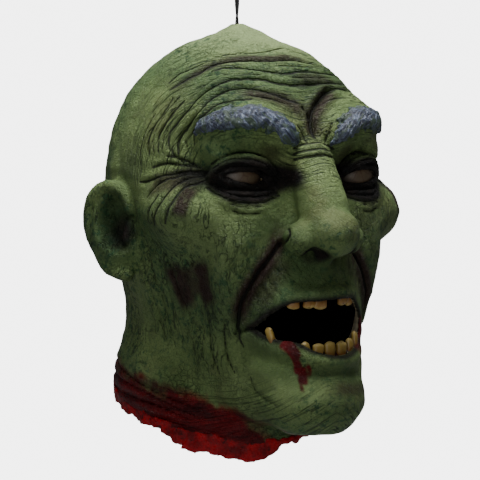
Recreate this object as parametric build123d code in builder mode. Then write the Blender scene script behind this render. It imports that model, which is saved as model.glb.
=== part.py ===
"""Pull-over latex ghoul mask, hung by its crown on a doubled cord and an S-hook.

Millimetres. The origin is the inside top of the hook's upper bend, where it sits on its support.
+Z is up and the face looks along -Y, so +X is the mask's own left side. Heights on the head are
written as drops below the crown, the point where the cord goes through the top of the skin.
"""

import math
import os

from build123d import *

# Hook and cord
WIRE_D = 3.0
HOOK_BEND_R = 7.5
HOOK_BEND_GAP = 24.0
HOOK_END_ANGLE = 35.0
STRAND_D = 1.6
CORD_D = 3.3
LOOP_GAP = 0.3
LOOP_SPREAD = 1.2
LOOP_DROP = 11.0
EXIT_LENGTH = 30.0

# Crown fittings
HOLE_R = 2.1
BOSS_R = 11.0
BOSS_BOTTOM_DROP = 9.0
WASHER_R = 9.0
WASHER_T = 1.2
KNOT_R = 4.2
KNOT_GAP = 0.3
FLEX_GAP = 0.3
FLEX_HEIGHT = 0.2

# Skin
WALL = 3.0
FORM_CENTRE_DROP = 130.0
SECTION_POINTS = 16

# Head: drop, front, widest y, back, half width, squareness of the front half
HEAD_SECTIONS = [
    (0, -6, 0, 6, 6, 2.0),
    (3, -12, 0, 11, 11, 2.0),
    (8, -24, 0, 23, 22, 2.0),
    (15, -42, 0, 41, 38, 2.0),
    (32, -74, 0, 65, 60, 2.0),
    (56, -92, 0, 84, 75, 2.0),
    (84, -99, 0, 95, 82, 2.0),
    (112, -100, 0, 98, 83, 2.0),
    (142, -109, 0, 95, 79, 1.9),
    (172, -121, 0, 87, 73, 1.8),
    (200, -126, 0, 74, 65, 1.8),
    (222, -127, -20, 44, 56, 1.9),
    (240, -122, -45, 2, 44, 2.0),
    (250, -112, -62, -28, 30, 2.0),
    (256, -98, -76, -54, 14, 2.0),
]

# Neck: drop, front, widest y, back, half width
NECK_SECTIONS = [
    (165, -44, 8, 82, 66),
    (198, -46, 10, 80, 69),
    (228, -58, 12, 86, 77),
    (250, -64, 12, 82, 75),
    (290, -54, 10, 66, 62),
]

# Nose: drop, front, half width; every section reaches back to NOSE_ROOT_Y
NOSE_ROOT_Y = -86.0
NOSE_SECTIONS = [
    (68, -92, 7),
    (92, -107, 11),
    (108, -118, 15),
    (124, -133, 22),
    (134, -138, 25),
    (143, -134, 23),
    (150, -123, 14),
]

# Rounded forms: centre (x, y, drop) and radii, the paired ones given for the left side
CHEEK = ((50, -52, 118), (34, 36, 30))
BROW_RIDGE = ((34, -62, 66), (40, 40, 20))
CHIN = ((0, -100, 232), (34, 31, 24))

# Ears: a rounded plate with a bowl in it, turned to face a little forwards
EAR_CENTRE = (86, 6, 130)
EAR_RADII = (34, 21)
EAR_BOWL_RADII = (24, 12)
EAR_BOWL_DEPTH = 6.0
EAR_STAND = 12.0
EAR_ROOT = 16.0
EAR_ROUND = 5.0
EAR_FLARE = 12.0

# Mouth opening: (x, drop) round its edge, with a corner at each side
MOUTH_UPPER_LIP = [(-37, 189), (-24, 174), (-4, 172), (17, 171), (31, 190)]
MOUTH_LOWER_LIP = [(31, 190), (16, 206), (0, 206), (-20, 203), (-37, 189)]
MOUTH_BACK_Y = -80.0
FACE_FRONT_Y = -150.0

# Eyes
EYE_X = 41.0
EYE_DROP = 98.0
EYE_SLOT_RADII = (15.0, 8.0)
EYE_R = 16.0
EYE_CENTRE_Y = -71.0
EYE_BACK_Y = -67.0

# Brows: an arched strip laid on the skin, (x, drop) at its outer end, crest and inner end
BROW_ARC = [(69, 68), (42, 57), (17, 72)]
BROW_WIDTH = 14.0
BROW_T = 2.5

# Teeth stand in a half-ellipse arch: (middle x, width, height, lean)
ARCH_CENTRE_Y = -88.0
ARCH_HALF_WIDTH = 34.0
UPPER_ARCH_Y = -114.0
LOWER_ARCH_Y = -118.0
TOOTH_T = 5.0
TOOTH_NECK_SHARE = 0.75
TOOTH_SHOULDER_SHARE = 0.65
TOOTH_BURIED = 4.0
UPPER_TEETH = [
    (-19.1, 7.0, 8.0, 3),
    (-10.8, 7.0, 8.0, -4),
    (-2.9, 8.0, 9.0, 2),
    (12.6, 7.0, 8.5, -3),
    (20.0, 6.0, 8.0, 4),
]
LOWER_TEETH = [
    (-29.5, 4.6, 11.5, 16),
    (-13.0, 5.6, 10.0, 5),
    (-6.2, 6.8, 9.0, -3),
    (2.0, 7.2, 10.5, 1),
    (10.2, 7.2, 10.0, -2),
    (17.4, 5.0, 10.0, -6),
    (23.6, 4.8, 10.0, -10),
]
UPPER_GUM_DROP = 169.0
LOWER_GUM_DROP = 207.0
GUM_CORNER_BEND = 9.0
GUM_HEIGHT = 8.0
GUM_T = 8.0
GUM_HALF_LENGTH = 30.5

# Black cloth pouch behind the mouth
POUCH_Y = -100.0
POUCH_DROP = 190.0
POUCH_R = 44.0
POUCH_T = 1.0

# Torn neck edge
RIM_TOP_DROP = 252.0
RIM_BOTTOM_DROP = 262.0
RIM_TILT = 15.0
RIM_OUTSET = 2.5
RIM_INSET = 4.5

# Where the heights above meet
HOOK_TOP_Z = -(HOOK_BEND_R - WIRE_D / 2)
HOOK_BOTTOM_Z = HOOK_TOP_Z - HOOK_BEND_GAP
WIRE_BOTTOM_Z = HOOK_BOTTOM_Z - HOOK_BEND_R
TWIST_TOP_Z = WIRE_BOTTOM_Z - LOOP_DROP
CROWN_Z = TWIST_TOP_Z - EXIT_LENGTH


def outline(front, widest, back, half_width, squareness=2.0):
    """Points round a section from its back: two half superellipses that meet where it is widest."""
    points = []
    for i in range(SECTION_POINTS):
        angle = 2 * math.pi * i / SECTION_POINTS + math.pi
        ahead, aside = math.cos(angle), math.sin(angle)
        power = 2 / (squareness if ahead > 0 else 2.0)
        reach = (front if ahead > 0 else back) - widest
        across = half_width * math.copysign(abs(aside) ** power, aside)
        points.append((across, widest + reach * abs(ahead) ** power))
    return points


def lofted(sections, inset):
    """A closed form through horizontal sections, drawn in by inset; a negative one lets it out."""
    with BuildPart() as form:
        for drop, front, widest, back, half_width, *squareness in sections:
            height = CROWN_Z - drop - inset * (1 - drop / FORM_CENTRE_DROP)
            shape = (front + inset, widest, back - inset, half_width - inset, *squareness)
            with BuildSketch(Plane.XY.offset(height)):
                with BuildLine():
                    Spline(*outline(*shape), periodic=True)
                make_face()
        loft()
    return form.part


def ellipsoid(centre, radii, inset=0.0):
    """An ellipsoid at (x, y, drop)."""
    x, y, drop = centre
    reach = tuple(radius - inset for radius in radii)
    return Pos(x, y, CROWN_Z - drop) * scale(Sphere(1.0, mode=Mode.PRIVATE), by=reach, mode=Mode.PRIVATE)


def both_sides(centre, radii, inset=0.0):
    """One ellipsoid on the mask's left and its mirror image on the right."""
    x, y, drop = centre
    return [ellipsoid((side * x, y, drop), radii, inset) for side in (1, -1)]


def head_form(inset):
    """The solid head and neck, drawn in by inset all round."""
    form = lofted(HEAD_SECTIONS, inset) + lofted(NECK_SECTIONS, inset)
    bulges = [*both_sides(*CHEEK, inset), *both_sides(*BROW_RIDGE, inset), ellipsoid(*CHIN, inset)]
    for bulge in bulges:
        form += bulge
    return form


def nose_form():
    """The nose, through half-buried elliptical sections."""
    with BuildPart() as nose:
        for drop, front, half_width in NOSE_SECTIONS:
            with BuildSketch(Plane.XY.offset(CROWN_Z - drop)):
                with Locations((0, NOSE_ROOT_Y)):
                    Ellipse(half_width, NOSE_ROOT_Y - front)
        loft()
    return nose.part


def ear_form(side):
    """One ear; side is 1 for the left and -1 for the right."""
    x, y, drop = EAR_CENTRE
    flare = math.radians(EAR_FLARE)
    out = (side * math.cos(flare), -math.sin(flare), 0)
    facing = Plane(origin=(side * x, y, CROWN_Z - drop), x_dir=(0, 0, 1), z_dir=out)
    with BuildPart() as ear:
        with BuildSketch(facing.offset(-EAR_ROOT)):
            Ellipse(*EAR_RADII)
        extrude(amount=EAR_ROOT + EAR_STAND)
        fillet(ear.faces().sort_by(Axis(facing.origin, out))[-1].edges(), EAR_ROUND)
        with BuildSketch(facing.offset(EAR_STAND)):
            Ellipse(*EAR_BOWL_RADII)
        extrude(amount=-EAR_BOWL_DEPTH, mode=Mode.SUBTRACT)
    return ear.part


def rim_plane(drop):
    """The slanting plane of the neck edge, lower in front than behind."""
    return Plane(Location((0, 0, CROWN_Z - drop), (RIM_TILT, 0, 0)))


def arch_y(x, front):
    """Where the row of teeth lies at x: half an ellipse, most forward at the middle."""
    return ARCH_CENTRE_Y + (front - ARCH_CENTRE_Y) * math.sqrt(1 - (x / ARCH_HALF_WIDTH) ** 2)


def arch_turn(x, front):
    """The turn about Z, in degrees, that faces a tooth outwards at x."""
    depth = ARCH_CENTRE_Y - front
    out_x = x / ARCH_HALF_WIDTH**2
    out_y = (ARCH_CENTRE_Y - arch_y(x, front)) / depth**2
    return math.degrees(math.atan2(out_x, out_y))


def gum_drop(x, root_drop, bend):
    """Height of the gum's edge at x: the row bends towards the corners of the mouth."""
    return root_drop + bend * (x / ARCH_HALF_WIDTH) ** 2


def tooth_form(x, width, height, lean, front, root_drop, bend, grows):
    """One flat tooth with a rounded edge; grows is 1 for up and -1 for down."""
    root = (x, arch_y(x, front), CROWN_Z - gum_drop(x, root_drop, bend))
    facing = Location(root, (0, 0, arch_turn(x, front))) * Location((0, 0, 0), (90, 0, lean))
    half_edge = width / 2
    half_neck = half_edge * TOOTH_NECK_SHARE
    shoulder = grows * height * TOOTH_SHOULDER_SHARE
    with BuildPart() as tooth:
        with BuildSketch(Plane(facing)):
            with BuildLine():
                Polyline(
                    (-half_edge, shoulder),
                    (-half_neck, -grows * TOOTH_BURIED),
                    (half_neck, -grows * TOOTH_BURIED),
                    (half_edge, shoulder),
                )
                ThreePointArc((half_edge, shoulder), (0, grows * height), (-half_edge, shoulder))
            make_face()
        extrude(amount=TOOTH_T / 2, both=True)
    return tooth.part


def gum_form(front, root_drop, bend, grows):
    """The gum that holds a row: a curved bar along the arch, on the root side of the edge."""
    depth = ARCH_CENTRE_Y - front
    edge = CROWN_Z - root_drop
    with BuildPart() as gum:
        with BuildSketch(Plane.XY.offset(edge)):
            with Locations((0, ARCH_CENTRE_Y)):
                Ellipse(ARCH_HALF_WIDTH + GUM_T / 2, depth + GUM_T / 2)
                Ellipse(ARCH_HALF_WIDTH - GUM_T / 2, depth - GUM_T / 2, mode=Mode.SUBTRACT)
            with Locations((0, front)):
                Rectangle(2 * GUM_HALF_LENGTH, 2 * depth, mode=Mode.INTERSECT)
        extrude(amount=GUM_HEIGHT, both=True)
        with BuildSketch(Plane.XZ.offset(-ARCH_CENTRE_Y)):
            with BuildLine():
                corner = edge - bend
                Spline((-ARCH_HALF_WIDTH, corner), (0, edge), (ARCH_HALF_WIDTH, corner))
                far = edge - grows * GUM_HEIGHT
                Line((ARCH_HALF_WIDTH, corner), (ARCH_HALF_WIDTH, far))
                Line((ARCH_HALF_WIDTH, far), (-ARCH_HALF_WIDTH, far))
                Line((-ARCH_HALF_WIDTH, far), (-ARCH_HALF_WIDTH, corner))
            make_face()
        extrude(amount=2 * depth, both=True, mode=Mode.INTERSECT)
    return gum.part


def save(part, label):
    """Labels one finished piece and writes it as its own STEP file."""
    part.label = label
    export_step(part, f"parts/{label}.step")
    print(label, round(part.volume, 1), "mm3,", len(part.solids()), "solid")


os.makedirs("parts", exist_ok=True)

# The outside and the inside of the skin, which every piece on the head is fitted to
outer_form = head_form(0)
inner_form = head_form(WALL)

with BuildPart() as head_skin:
    add(outer_form)
    add(nose_form())
    add(ear_form(1))
    add(ear_form(-1))
    add(inner_form, mode=Mode.SUBTRACT)
    split(bisect_by=rim_plane(RIM_TOP_DROP), keep=Keep.TOP)
    with BuildSketch(Plane.XZ.offset(-MOUTH_BACK_Y)):
        with BuildLine():
            Spline(*[(x, CROWN_Z - drop) for x, drop in MOUTH_UPPER_LIP])
            Spline(*[(x, CROWN_Z - drop) for x, drop in MOUTH_LOWER_LIP])
        make_face()
        with Locations(*[(side * EYE_X, CROWN_Z - EYE_DROP) for side in (-1, 1)]):
            Ellipse(*EYE_SLOT_RADII)
    extrude(amount=MOUTH_BACK_Y - FACE_FRONT_Y, both=True, mode=Mode.SUBTRACT)
    with Locations((0, 0, CROWN_Z)):
        Cylinder(HOLE_R, 2 * BOSS_BOTTOM_DROP, mode=Mode.SUBTRACT)
save(head_skin.part, "head_skin")

with BuildPart() as neck_rim:
    add(lofted(NECK_SECTIONS, -RIM_OUTSET))
    add(lofted(NECK_SECTIONS, RIM_INSET), mode=Mode.SUBTRACT)
    split(bisect_by=rim_plane(RIM_TOP_DROP), keep=Keep.BOTTOM)
    split(bisect_by=rim_plane(RIM_BOTTOM_DROP), keep=Keep.TOP)
save(neck_rim.part, "neck_rim")

# Each eye is a domed plug that fills its slot and is flat behind
for side, name in ((1, "left_eye"), (-1, "right_eye")):
    with BuildPart() as eye:
        with BuildSketch(Plane.XZ.offset(-EYE_BACK_Y)):
            with Locations((side * EYE_X, CROWN_Z - EYE_DROP)):
                Ellipse(*EYE_SLOT_RADII)
        extrude(amount=EYE_BACK_Y - FACE_FRONT_Y)
        with Locations((side * EYE_X, EYE_CENTRE_Y, CROWN_Z - EYE_DROP)):
            Sphere(EYE_R, mode=Mode.INTERSECT)
    save(eye.part, name)

brow_layer = head_form(-BROW_T)
for side, name in ((1, "left_brow"), (-1, "right_brow")):
    crest = ThreePointArc(*[(side * x, CROWN_Z - drop) for x, drop in BROW_ARC])
    with BuildPart() as brow:
        with BuildSketch(Plane.XZ.offset(-EYE_BACK_Y)):
            SlotArc(crest, BROW_WIDTH)
        extrude(amount=EYE_BACK_Y - FACE_FRONT_Y, both=True)
    save((brow.part & brow_layer) - outer_form, name)

rows = [
    ("upper", UPPER_TEETH, UPPER_ARCH_Y, UPPER_GUM_DROP, GUM_CORNER_BEND, -1),
    ("lower", LOWER_TEETH, LOWER_ARCH_Y, LOWER_GUM_DROP, -GUM_CORNER_BEND, 1),
]
for row, teeth, front, root_drop, bend, grows in rows:
    gum = gum_form(front, root_drop, bend, grows) & inner_form
    for number, (x, width, height, lean) in enumerate(teeth, 1):
        tooth = tooth_form(x, width, height, lean, front, root_drop, bend, grows) & inner_form
        gum -= tooth
        save(tooth, f"{row}_tooth_{number}")
    save(gum, f"{row}_gum")

with BuildPart() as pouch:
    with Locations((0, POUCH_Y, CROWN_Z - POUCH_DROP)):
        Sphere(POUCH_R)
mouth_pouch = pouch.part & inner_form
with BuildPart() as pouch_hollow:
    with Locations((0, POUCH_Y, CROWN_Z - POUCH_DROP)):
        Sphere(POUCH_R - POUCH_T)
save(mouth_pouch - pouch_hollow.part, "mouth_pouch")

with BuildPart() as crown_boss:
    with BuildSketch(Plane.XY.offset(CROWN_Z - BOSS_BOTTOM_DROP)):
        Circle(BOSS_R)
        Circle(HOLE_R, mode=Mode.SUBTRACT)
    extrude(amount=BOSS_BOTTOM_DROP)
save(crown_boss.part & inner_form, "crown_boss")

with BuildPart() as washer:
    with BuildSketch(Plane.XY.offset(CROWN_Z - BOSS_BOTTOM_DROP)):
        Circle(WASHER_R)
        Circle(HOLE_R, mode=Mode.SUBTRACT)
    extrude(amount=-WASHER_T)
    chamfer(washer.edges().group_by(Axis.Z)[0], 0.2)
save(washer.part, "washer")

knot_centre_z = CROWN_Z - BOSS_BOTTOM_DROP - WASHER_T - KNOT_GAP - KNOT_R
with BuildPart() as knot:
    with Locations((0, 0, knot_centre_z)):
        Sphere(KNOT_R)
save(knot.part, "knot")

stub_top_z = CROWN_Z + FLEX_HEIGHT - CORD_D / 2 - FLEX_GAP
with BuildPart() as cord_stub:
    with BuildSketch(Plane.XY.offset(stub_top_z)):
        Circle(CORD_D / 2)
    extrude(amount=knot_centre_z - stub_top_z)
    add(knot.part, mode=Mode.SUBTRACT)
save(cord_stub.part, "cord_stub")

flex_z = CROWN_Z + FLEX_HEIGHT
with BuildPart() as cord_twist:
    with BuildSketch(Plane.XY.offset(flex_z)):
        Circle(CORD_D / 2)
    extrude(amount=TWIST_TOP_Z - flex_z)
    with Locations((0, 0, flex_z)):
        Sphere(CORD_D / 2)
save(cord_twist.part, "cord_twist")

loop_r = WIRE_D / 2 + LOOP_GAP + STRAND_D / 2
leg_y = CORD_D / 2 - STRAND_D / 2
with BuildPart() as cord_loop:
    with BuildLine(Plane.YZ) as loop_path:
        FilletPolyline(
            (-leg_y, TWIST_TOP_Z),
            (-loop_r * LOOP_SPREAD, WIRE_BOTTOM_Z + loop_r),
            (loop_r * LOOP_SPREAD, WIRE_BOTTOM_Z + loop_r),
            (leg_y, TWIST_TOP_Z),
            radius=loop_r,
        )
    with BuildSketch(Plane(loop_path.wire() @ 0, z_dir=loop_path.wire() % 0)):
        Circle(STRAND_D / 2)
    sweep(path=loop_path.wire())
    split(bisect_by=Plane.XY.offset(TWIST_TOP_Z), keep=Keep.TOP)
save(cord_loop.part, "cord_loop")
print("cord arcs: radius", loop_r, "mm, round the hook; the rest is straight")
print("loop volume over section times length:",
      round(cord_loop.part.volume / (math.pi * (STRAND_D / 2) ** 2 * loop_path.wire().length), 4))

with BuildPart() as s_hook:
    with BuildLine(Plane.XZ) as hook_path:
        upper_arc = CenterArc((0, HOOK_TOP_Z), HOOK_BEND_R, -HOOK_END_ANGLE, 180 + HOOK_END_ANGLE)
        shank = Line((-HOOK_BEND_R, HOOK_TOP_Z), (-HOOK_BEND_R, HOOK_BOTTOM_Z))
        lower_arc = CenterArc((0, HOOK_BOTTOM_Z), HOOK_BEND_R, 180, 180 + HOOK_END_ANGLE)
    with BuildSketch(Plane(hook_path.wire() @ 0, z_dir=hook_path.wire() % 0)):
        Circle(WIRE_D / 2)
    sweep(path=hook_path.wire())
save(s_hook.part, "s_hook")
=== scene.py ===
"""Looks of the hanging latex ghoul mask, on its CAD frame.

The head is sculpted in millimetres in head coordinates: x to the mask's left, y to the back and z
up from the crown, the point where the cord leaves the skin. A place on the skin is often given as
(angle, drop): degrees round the head from the nose towards the mask's left, and mm under the crown.
"""

import math

import bpy
import numpy as np
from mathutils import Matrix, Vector


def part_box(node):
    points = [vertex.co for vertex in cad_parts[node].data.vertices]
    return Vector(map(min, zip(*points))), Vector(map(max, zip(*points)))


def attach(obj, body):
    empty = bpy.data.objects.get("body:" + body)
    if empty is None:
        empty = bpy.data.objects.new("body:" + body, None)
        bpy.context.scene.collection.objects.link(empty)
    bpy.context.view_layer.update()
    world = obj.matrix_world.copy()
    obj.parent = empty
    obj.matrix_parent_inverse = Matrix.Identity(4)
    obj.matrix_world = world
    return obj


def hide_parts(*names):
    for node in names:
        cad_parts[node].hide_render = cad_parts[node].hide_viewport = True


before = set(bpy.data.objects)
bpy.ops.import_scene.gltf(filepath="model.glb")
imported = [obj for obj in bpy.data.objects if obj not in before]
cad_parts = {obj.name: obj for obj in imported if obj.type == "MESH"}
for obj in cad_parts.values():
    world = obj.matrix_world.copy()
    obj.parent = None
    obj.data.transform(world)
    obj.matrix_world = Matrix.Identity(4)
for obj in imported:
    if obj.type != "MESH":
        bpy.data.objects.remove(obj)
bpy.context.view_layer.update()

MM = 0.001
CROWN_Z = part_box("head_skin")[1][2]

# The clay's grid spacing and the latex's thickness, in mm
STEP = 1.3
WALL = 3.0

# Head: drop, front, widest y, back, half width, squareness of the front half
HEAD_SECTIONS = [
    (-2, -1, 0, 1, 1, 2.0),
    (0, -5, 0, 5, 5, 2.0),
    (3, -12, 0, 11, 11, 2.0),
    (8, -24, 0, 23, 22, 2.0),
    (15, -42, 0, 41, 38, 2.0),
    (32, -72, 0, 66, 60, 2.0),
    (56, -89, 0, 87, 75, 2.0),
    (84, -94, 0, 97, 82, 2.0),
    (112, -97, 0, 100, 83, 2.0),
    (142, -106, 0, 96, 79, 1.8),
    (172, -117, 0, 87, 72, 1.6),
    (200, -120, -4, 73, 64, 1.6),
    (222, -119, -22, 44, 54, 1.8),
    (240, -113, -45, 2, 42, 2.0),
    (250, -104, -62, -28, 28, 2.0),
    (255, -92, -76, -56, 10, 2.0),
]

# Neck, in the same columns
NECK_SECTIONS = [
    (150, -30, 8, 70, 52, 2.0),
    (175, -44, 8, 84, 65, 2.0),
    (198, -48, 10, 82, 69, 2.0),
    (228, -58, 12, 87, 77, 2.0),
    (250, -64, 12, 84, 75, 2.0),
    (300, -54, 10, 66, 62, 2.0),
]


def to_row(points):
    """Head coordinates in mm to the row frame in metres."""
    return np.asarray(points, float) * MM + (0, 0, CROWN_Z)


# ---------------------------------------------------------------- clay: a signed distance on a grid


class Clay:
    """A block of space whose field is the distance to the surface, in mm and negative inside."""

    def __init__(self, low, high, step):
        self.low = np.array(low, float)
        self.step = step
        sizes = np.ceil((np.array(high) - self.low) / step).astype(int) + 1
        self.axes = [start + step * np.arange(size) for start, size in zip(self.low, sizes)]
        self.field = np.full(sizes, 60.0, np.float32)

    def window(self, low, high):
        """The grid's part inside a box, as slices and as coordinates that broadcast."""
        cut = []
        for axis, start, end in zip(self.axes, low, high):
            first, last = np.searchsorted(axis, (start, end))
            cut.append(slice(max(first - 1, 0), min(last + 1, len(axis))))
        places = [axis[part].astype(np.float32) for axis, part in zip(self.axes, cut)]
        return tuple(cut), np.ix_(*places)

    def add(self, shape, soft=4.0):
        """Joins a shape on, with a fillet of about soft mm."""
        low, high, distance = shape
        cut, places = self.window(low - 2 * soft, high + 2 * soft)
        self.field[cut] = soft_min(self.field[cut], distance(*places), soft)

    def dig(self, shape, soft=4.0):
        """Takes a shape away, with rounded edges of about soft mm."""
        low, high, distance = shape
        cut, places = self.window(low - 2 * soft, high + 2 * soft)
        self.field[cut] = -soft_min(-self.field[cut], distance(*places), soft)

    def sample(self, points):
        """The field at any points, between the grid's own."""
        spots = (np.asarray(points) - self.low) / self.step
        spots = np.clip(spots, 0, np.array(self.field.shape) - 1.001)
        base = spots.astype(int)
        part = spots - base
        total = np.zeros(len(spots))
        for corner in np.ndindex(2, 2, 2):
            weight = np.prod(np.where(corner, part, 1 - part), axis=1)
            total += weight * self.field[tuple((base + corner).T)]
        return total

    def rise(self, points):
        """How fast the field rises along each axis at points."""
        shifts = np.eye(3) * self.step
        rises = [self.sample(points + shift) - self.sample(points - shift) for shift in shifts]
        return np.stack(rises, axis=1) / (2 * self.step)

    def slope(self, points):
        """The unit outward direction of the field at points."""
        rises = self.rise(points)
        return rises / np.maximum(np.linalg.norm(rises, axis=1, keepdims=True), 1e-9)

    def settle(self, points, rounds=3):
        """Moves points that are near the surface onto it."""
        points = np.array(points, float)
        for _ in range(rounds):
            rises = self.rise(points)
            steep = np.maximum((rises**2).sum(axis=1, keepdims=True), 0.05)
            points -= np.clip(self.sample(points)[:, None] * rises / steep, -2, 2)
        return points

    def reach(self, angle, drop):
        """The outermost points of the surface at given angles and drops, seen from the head's axis."""
        angle = np.radians(np.asarray(angle, float))
        drop = np.asarray(drop, float)
        out = np.stack([np.sin(angle), -np.cos(angle), np.zeros_like(angle)], axis=1)
        base = np.stack([np.zeros_like(drop), np.zeros_like(drop), -drop], axis=1)
        found = np.zeros(len(drop))
        for radius in np.arange(20, 150, 1.0):
            found = np.where(self.sample(base + out * radius) < 0, radius, found)
        return self.settle(base + out * (found[:, None] + 0.5))


def soft_min(a, b, soft):
    """The smaller of two distances, rounded over where they are within soft of each other."""
    h = np.clip(0.5 + 0.5 * (b - a) / soft, 0, 1)
    return b + (a - b) * h - soft * h * (1 - h)


def ball(centre, radii, turn=(0, 0, 0)):
    """An ellipsoid, turned about X, Y and Z in degrees."""
    centre = np.array(centre, float)
    radii = np.array(radii, float) * np.ones(3)
    spin = np.eye(3)
    for axis, degrees in enumerate(turn):
        c, s = math.cos(math.radians(degrees)), math.sin(math.radians(degrees))
        i, j = [(1, 2), (2, 0), (0, 1)][axis]
        one = np.eye(3)
        one[i, i], one[j, j], one[i, j], one[j, i] = c, c, -s, s
        spin = one @ spin
    reach = np.sqrt(((spin * radii) ** 2).sum(axis=1))

    def distance(x, y, z):
        offset = (x - centre[0], y - centre[1], z - centre[2])
        local = [sum(spin[i, j] * offset[i] for i in range(3)) / radii[j] for j in range(3)]
        scaled = np.sqrt(sum(part**2 for part in local))
        steep = np.sqrt(sum((part / radius) ** 2 for part, radius in zip(local, radii)))
        return scaled * (scaled - 1) / np.maximum(steep, 1e-6)

    return centre - reach, centre + reach, distance


def tube(points, radii, flat=(1, 1, 1)):
    """A chain of round rods through points, each with its own radius; flat squeezes an axis."""
    points = np.array(points, float)
    radii = np.ones(len(points)) * radii
    flat = np.array(flat, float)
    widest = radii.max()

    def distance(x, y, z):
        nearest = None
        for start, end, first, last in zip(points, points[1:], radii, radii[1:]):
            along = (end - start) / flat
            offset = [(p - s) / f for p, s, f in zip((x, y, z), start, flat)]
            share = sum(o * a for o, a in zip(offset, along)) / max((along**2).sum(), 1e-6)
            share = np.clip(share, 0, 1)
            gap = np.sqrt(sum((o - a * share) ** 2 for o, a in zip(offset, along)))
            gap = gap - (first + (last - first) * share)
            nearest = gap if nearest is None else np.minimum(nearest, gap)
        return nearest * flat.min()

    return points.min(axis=0) - widest * flat, points.max(axis=0) + widest * flat, distance


def smooth_tube(points, radii, spacing=5.0):
    """A tube on a smooth curve through the points."""
    radii = np.ones(len(points)) * radii
    path = curve_through(np.column_stack([points, radii]), spacing)
    return tube(path[:, :3], path[:, 3])


def stack(sections, grid):
    """The distance to a form through horizontal superellipse sections, over a whole grid."""
    x, y, z = np.ix_(*[axis.astype(np.float32) for axis in grid.axes])
    table = np.array(sections, float)
    drops = np.clip(-grid.axes[2], table[0, 0], table[-1, 0])
    columns = [smooth_table(drops, table[:, 0], table[:, i]) for i in range(1, 6)]
    front, widest, back, half_width, square = [c.astype(np.float32)[None, None, :] for c in columns]
    ahead = y < widest
    depth = np.where(ahead, widest - front, back - widest)
    power = np.where(ahead, square, 2.0)
    across = np.abs(x) / half_width
    along = np.abs(y - widest) / depth
    ratio = (across**power + along**power + 1e-9) ** (1 / power)
    slopes = np.gradient(ratio, grid.step)
    steep = np.sqrt(sum(slope**2 for slope in slopes))
    gap = (ratio - 1) / np.maximum(steep, 1 / 120)
    past_end = np.maximum(z + table[0, 0], -table[-1, 0] - z)
    return np.maximum(gap, past_end)


def smooth_table(at, places, values):
    """Values between table rows, on a smooth curve through them."""
    slopes = np.gradient(values, places)
    row = np.clip(np.searchsorted(places, at) - 1, 0, len(places) - 2)
    gap = places[row + 1] - places[row]
    t = (at - places[row]) / gap
    rise = (2 * t**3 - 3 * t**2 + 1) * values[row] + (3 * t**2 - 2 * t**3) * values[row + 1]
    bend = (t**3 - 2 * t**2 + t) * slopes[row] + (t**3 - t**2) * slopes[row + 1]
    return rise + bend * gap


def curve_through(points, spacing=1.5):
    """Evenly spaced points on a smooth curve through the given ones, in any number of columns."""
    points = np.array(points, float)
    ends = np.vstack([2 * points[0] - points[1], points, 2 * points[-1] - points[-2]])
    fine = []
    for i in range(len(points) - 1):
        a, b, c, d = ends[i : i + 4]
        for t in np.arange(0, 1, 0.05):
            fine.append(b + 0.5 * t * (c - a + t * (2 * a - 5 * b + 4 * c - d + t * (3 * (b - c) + d - a))))
    fine = np.array(fine + [points[-1]])
    length = np.concatenate([[0], np.cumsum(np.linalg.norm(np.diff(fine[:, :3], axis=0), axis=1))])
    count = max(int(length[-1] / spacing), 2)
    marks = np.linspace(0, length[-1], count + 1)
    return np.stack([np.interp(marks, length, column) for column in fine.T], axis=1)


def skinned(clay):
    """The clay's surface as vertices and four-sided faces, one vertex in each cell it crosses."""
    field = clay.field
    inside = field < 0
    cells = [size - 1 for size in field.shape]
    count = np.zeros(cells, np.int8)
    for shift in np.ndindex(2, 2, 2):
        count += inside[tuple(slice(s, s + n) for s, n in zip(shift, cells))]
    active = (count > 0) & (count < 8)
    spots = np.argwhere(active)
    number = np.full(cells, -1, np.int64)
    number[active] = np.arange(len(spots))
    total = np.zeros((len(spots), 3))
    hits = np.zeros(len(spots))
    for axis in range(3):
        unit = np.eye(3, dtype=int)[axis]
        for shift in np.ndindex(2, 2, 2):
            if shift[axis]:
                continue
            start = spots + shift
            a = field[tuple(start.T)]
            b = field[tuple((start + unit).T)]
            crossed = (a < 0) != (b < 0)
            share = np.where(crossed, a / np.where(crossed, a - b, 1), 0)
            total[crossed] += (start + share[:, None] * unit)[crossed]
            hits[crossed] += 1
    vertices = clay.low + clay.step * total / hits[:, None]

    faces = []
    for axis in range(3):
        unit = np.eye(3, dtype=int)
        u, v = unit[(axis + 1) % 3], unit[(axis + 2) % 3]
        first = [slice(1, -1)] * 3
        first[axis] = slice(0, -1)
        second = list(first)
        second[axis] = slice(1, None)
        a, b = inside[tuple(first)], inside[tuple(second)]
        edges = np.argwhere(a != b) + (1 - unit[axis])
        ring = [number[tuple((edges - shift).T)] for shift in (u + v, v, 0 * u, u)]
        ring = np.stack(ring, axis=1)
        outward = inside[tuple(edges.T)]
        ring[~outward] = ring[~outward][:, ::-1]
        faces.append(ring)
    faces = np.concatenate(faces)
    return largest_part(vertices, faces[(faces >= 0).all(axis=1)])


def largest_part(vertices, faces):
    """The mesh without its loose specks: only the largest connected part of it."""
    label = np.arange(len(vertices))
    while True:
        lowest = label.copy()
        np.minimum.at(lowest, faces.ravel(), np.repeat(label[faces].min(axis=1), faces.shape[1]))
        lowest = lowest[lowest]
        if (lowest == label).all():
            break
        label = lowest
    kept = label == np.bincount(label).argmax()
    number = np.cumsum(kept) - 1
    return vertices[kept], number[faces[kept[faces[:, 0]]]]


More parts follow.
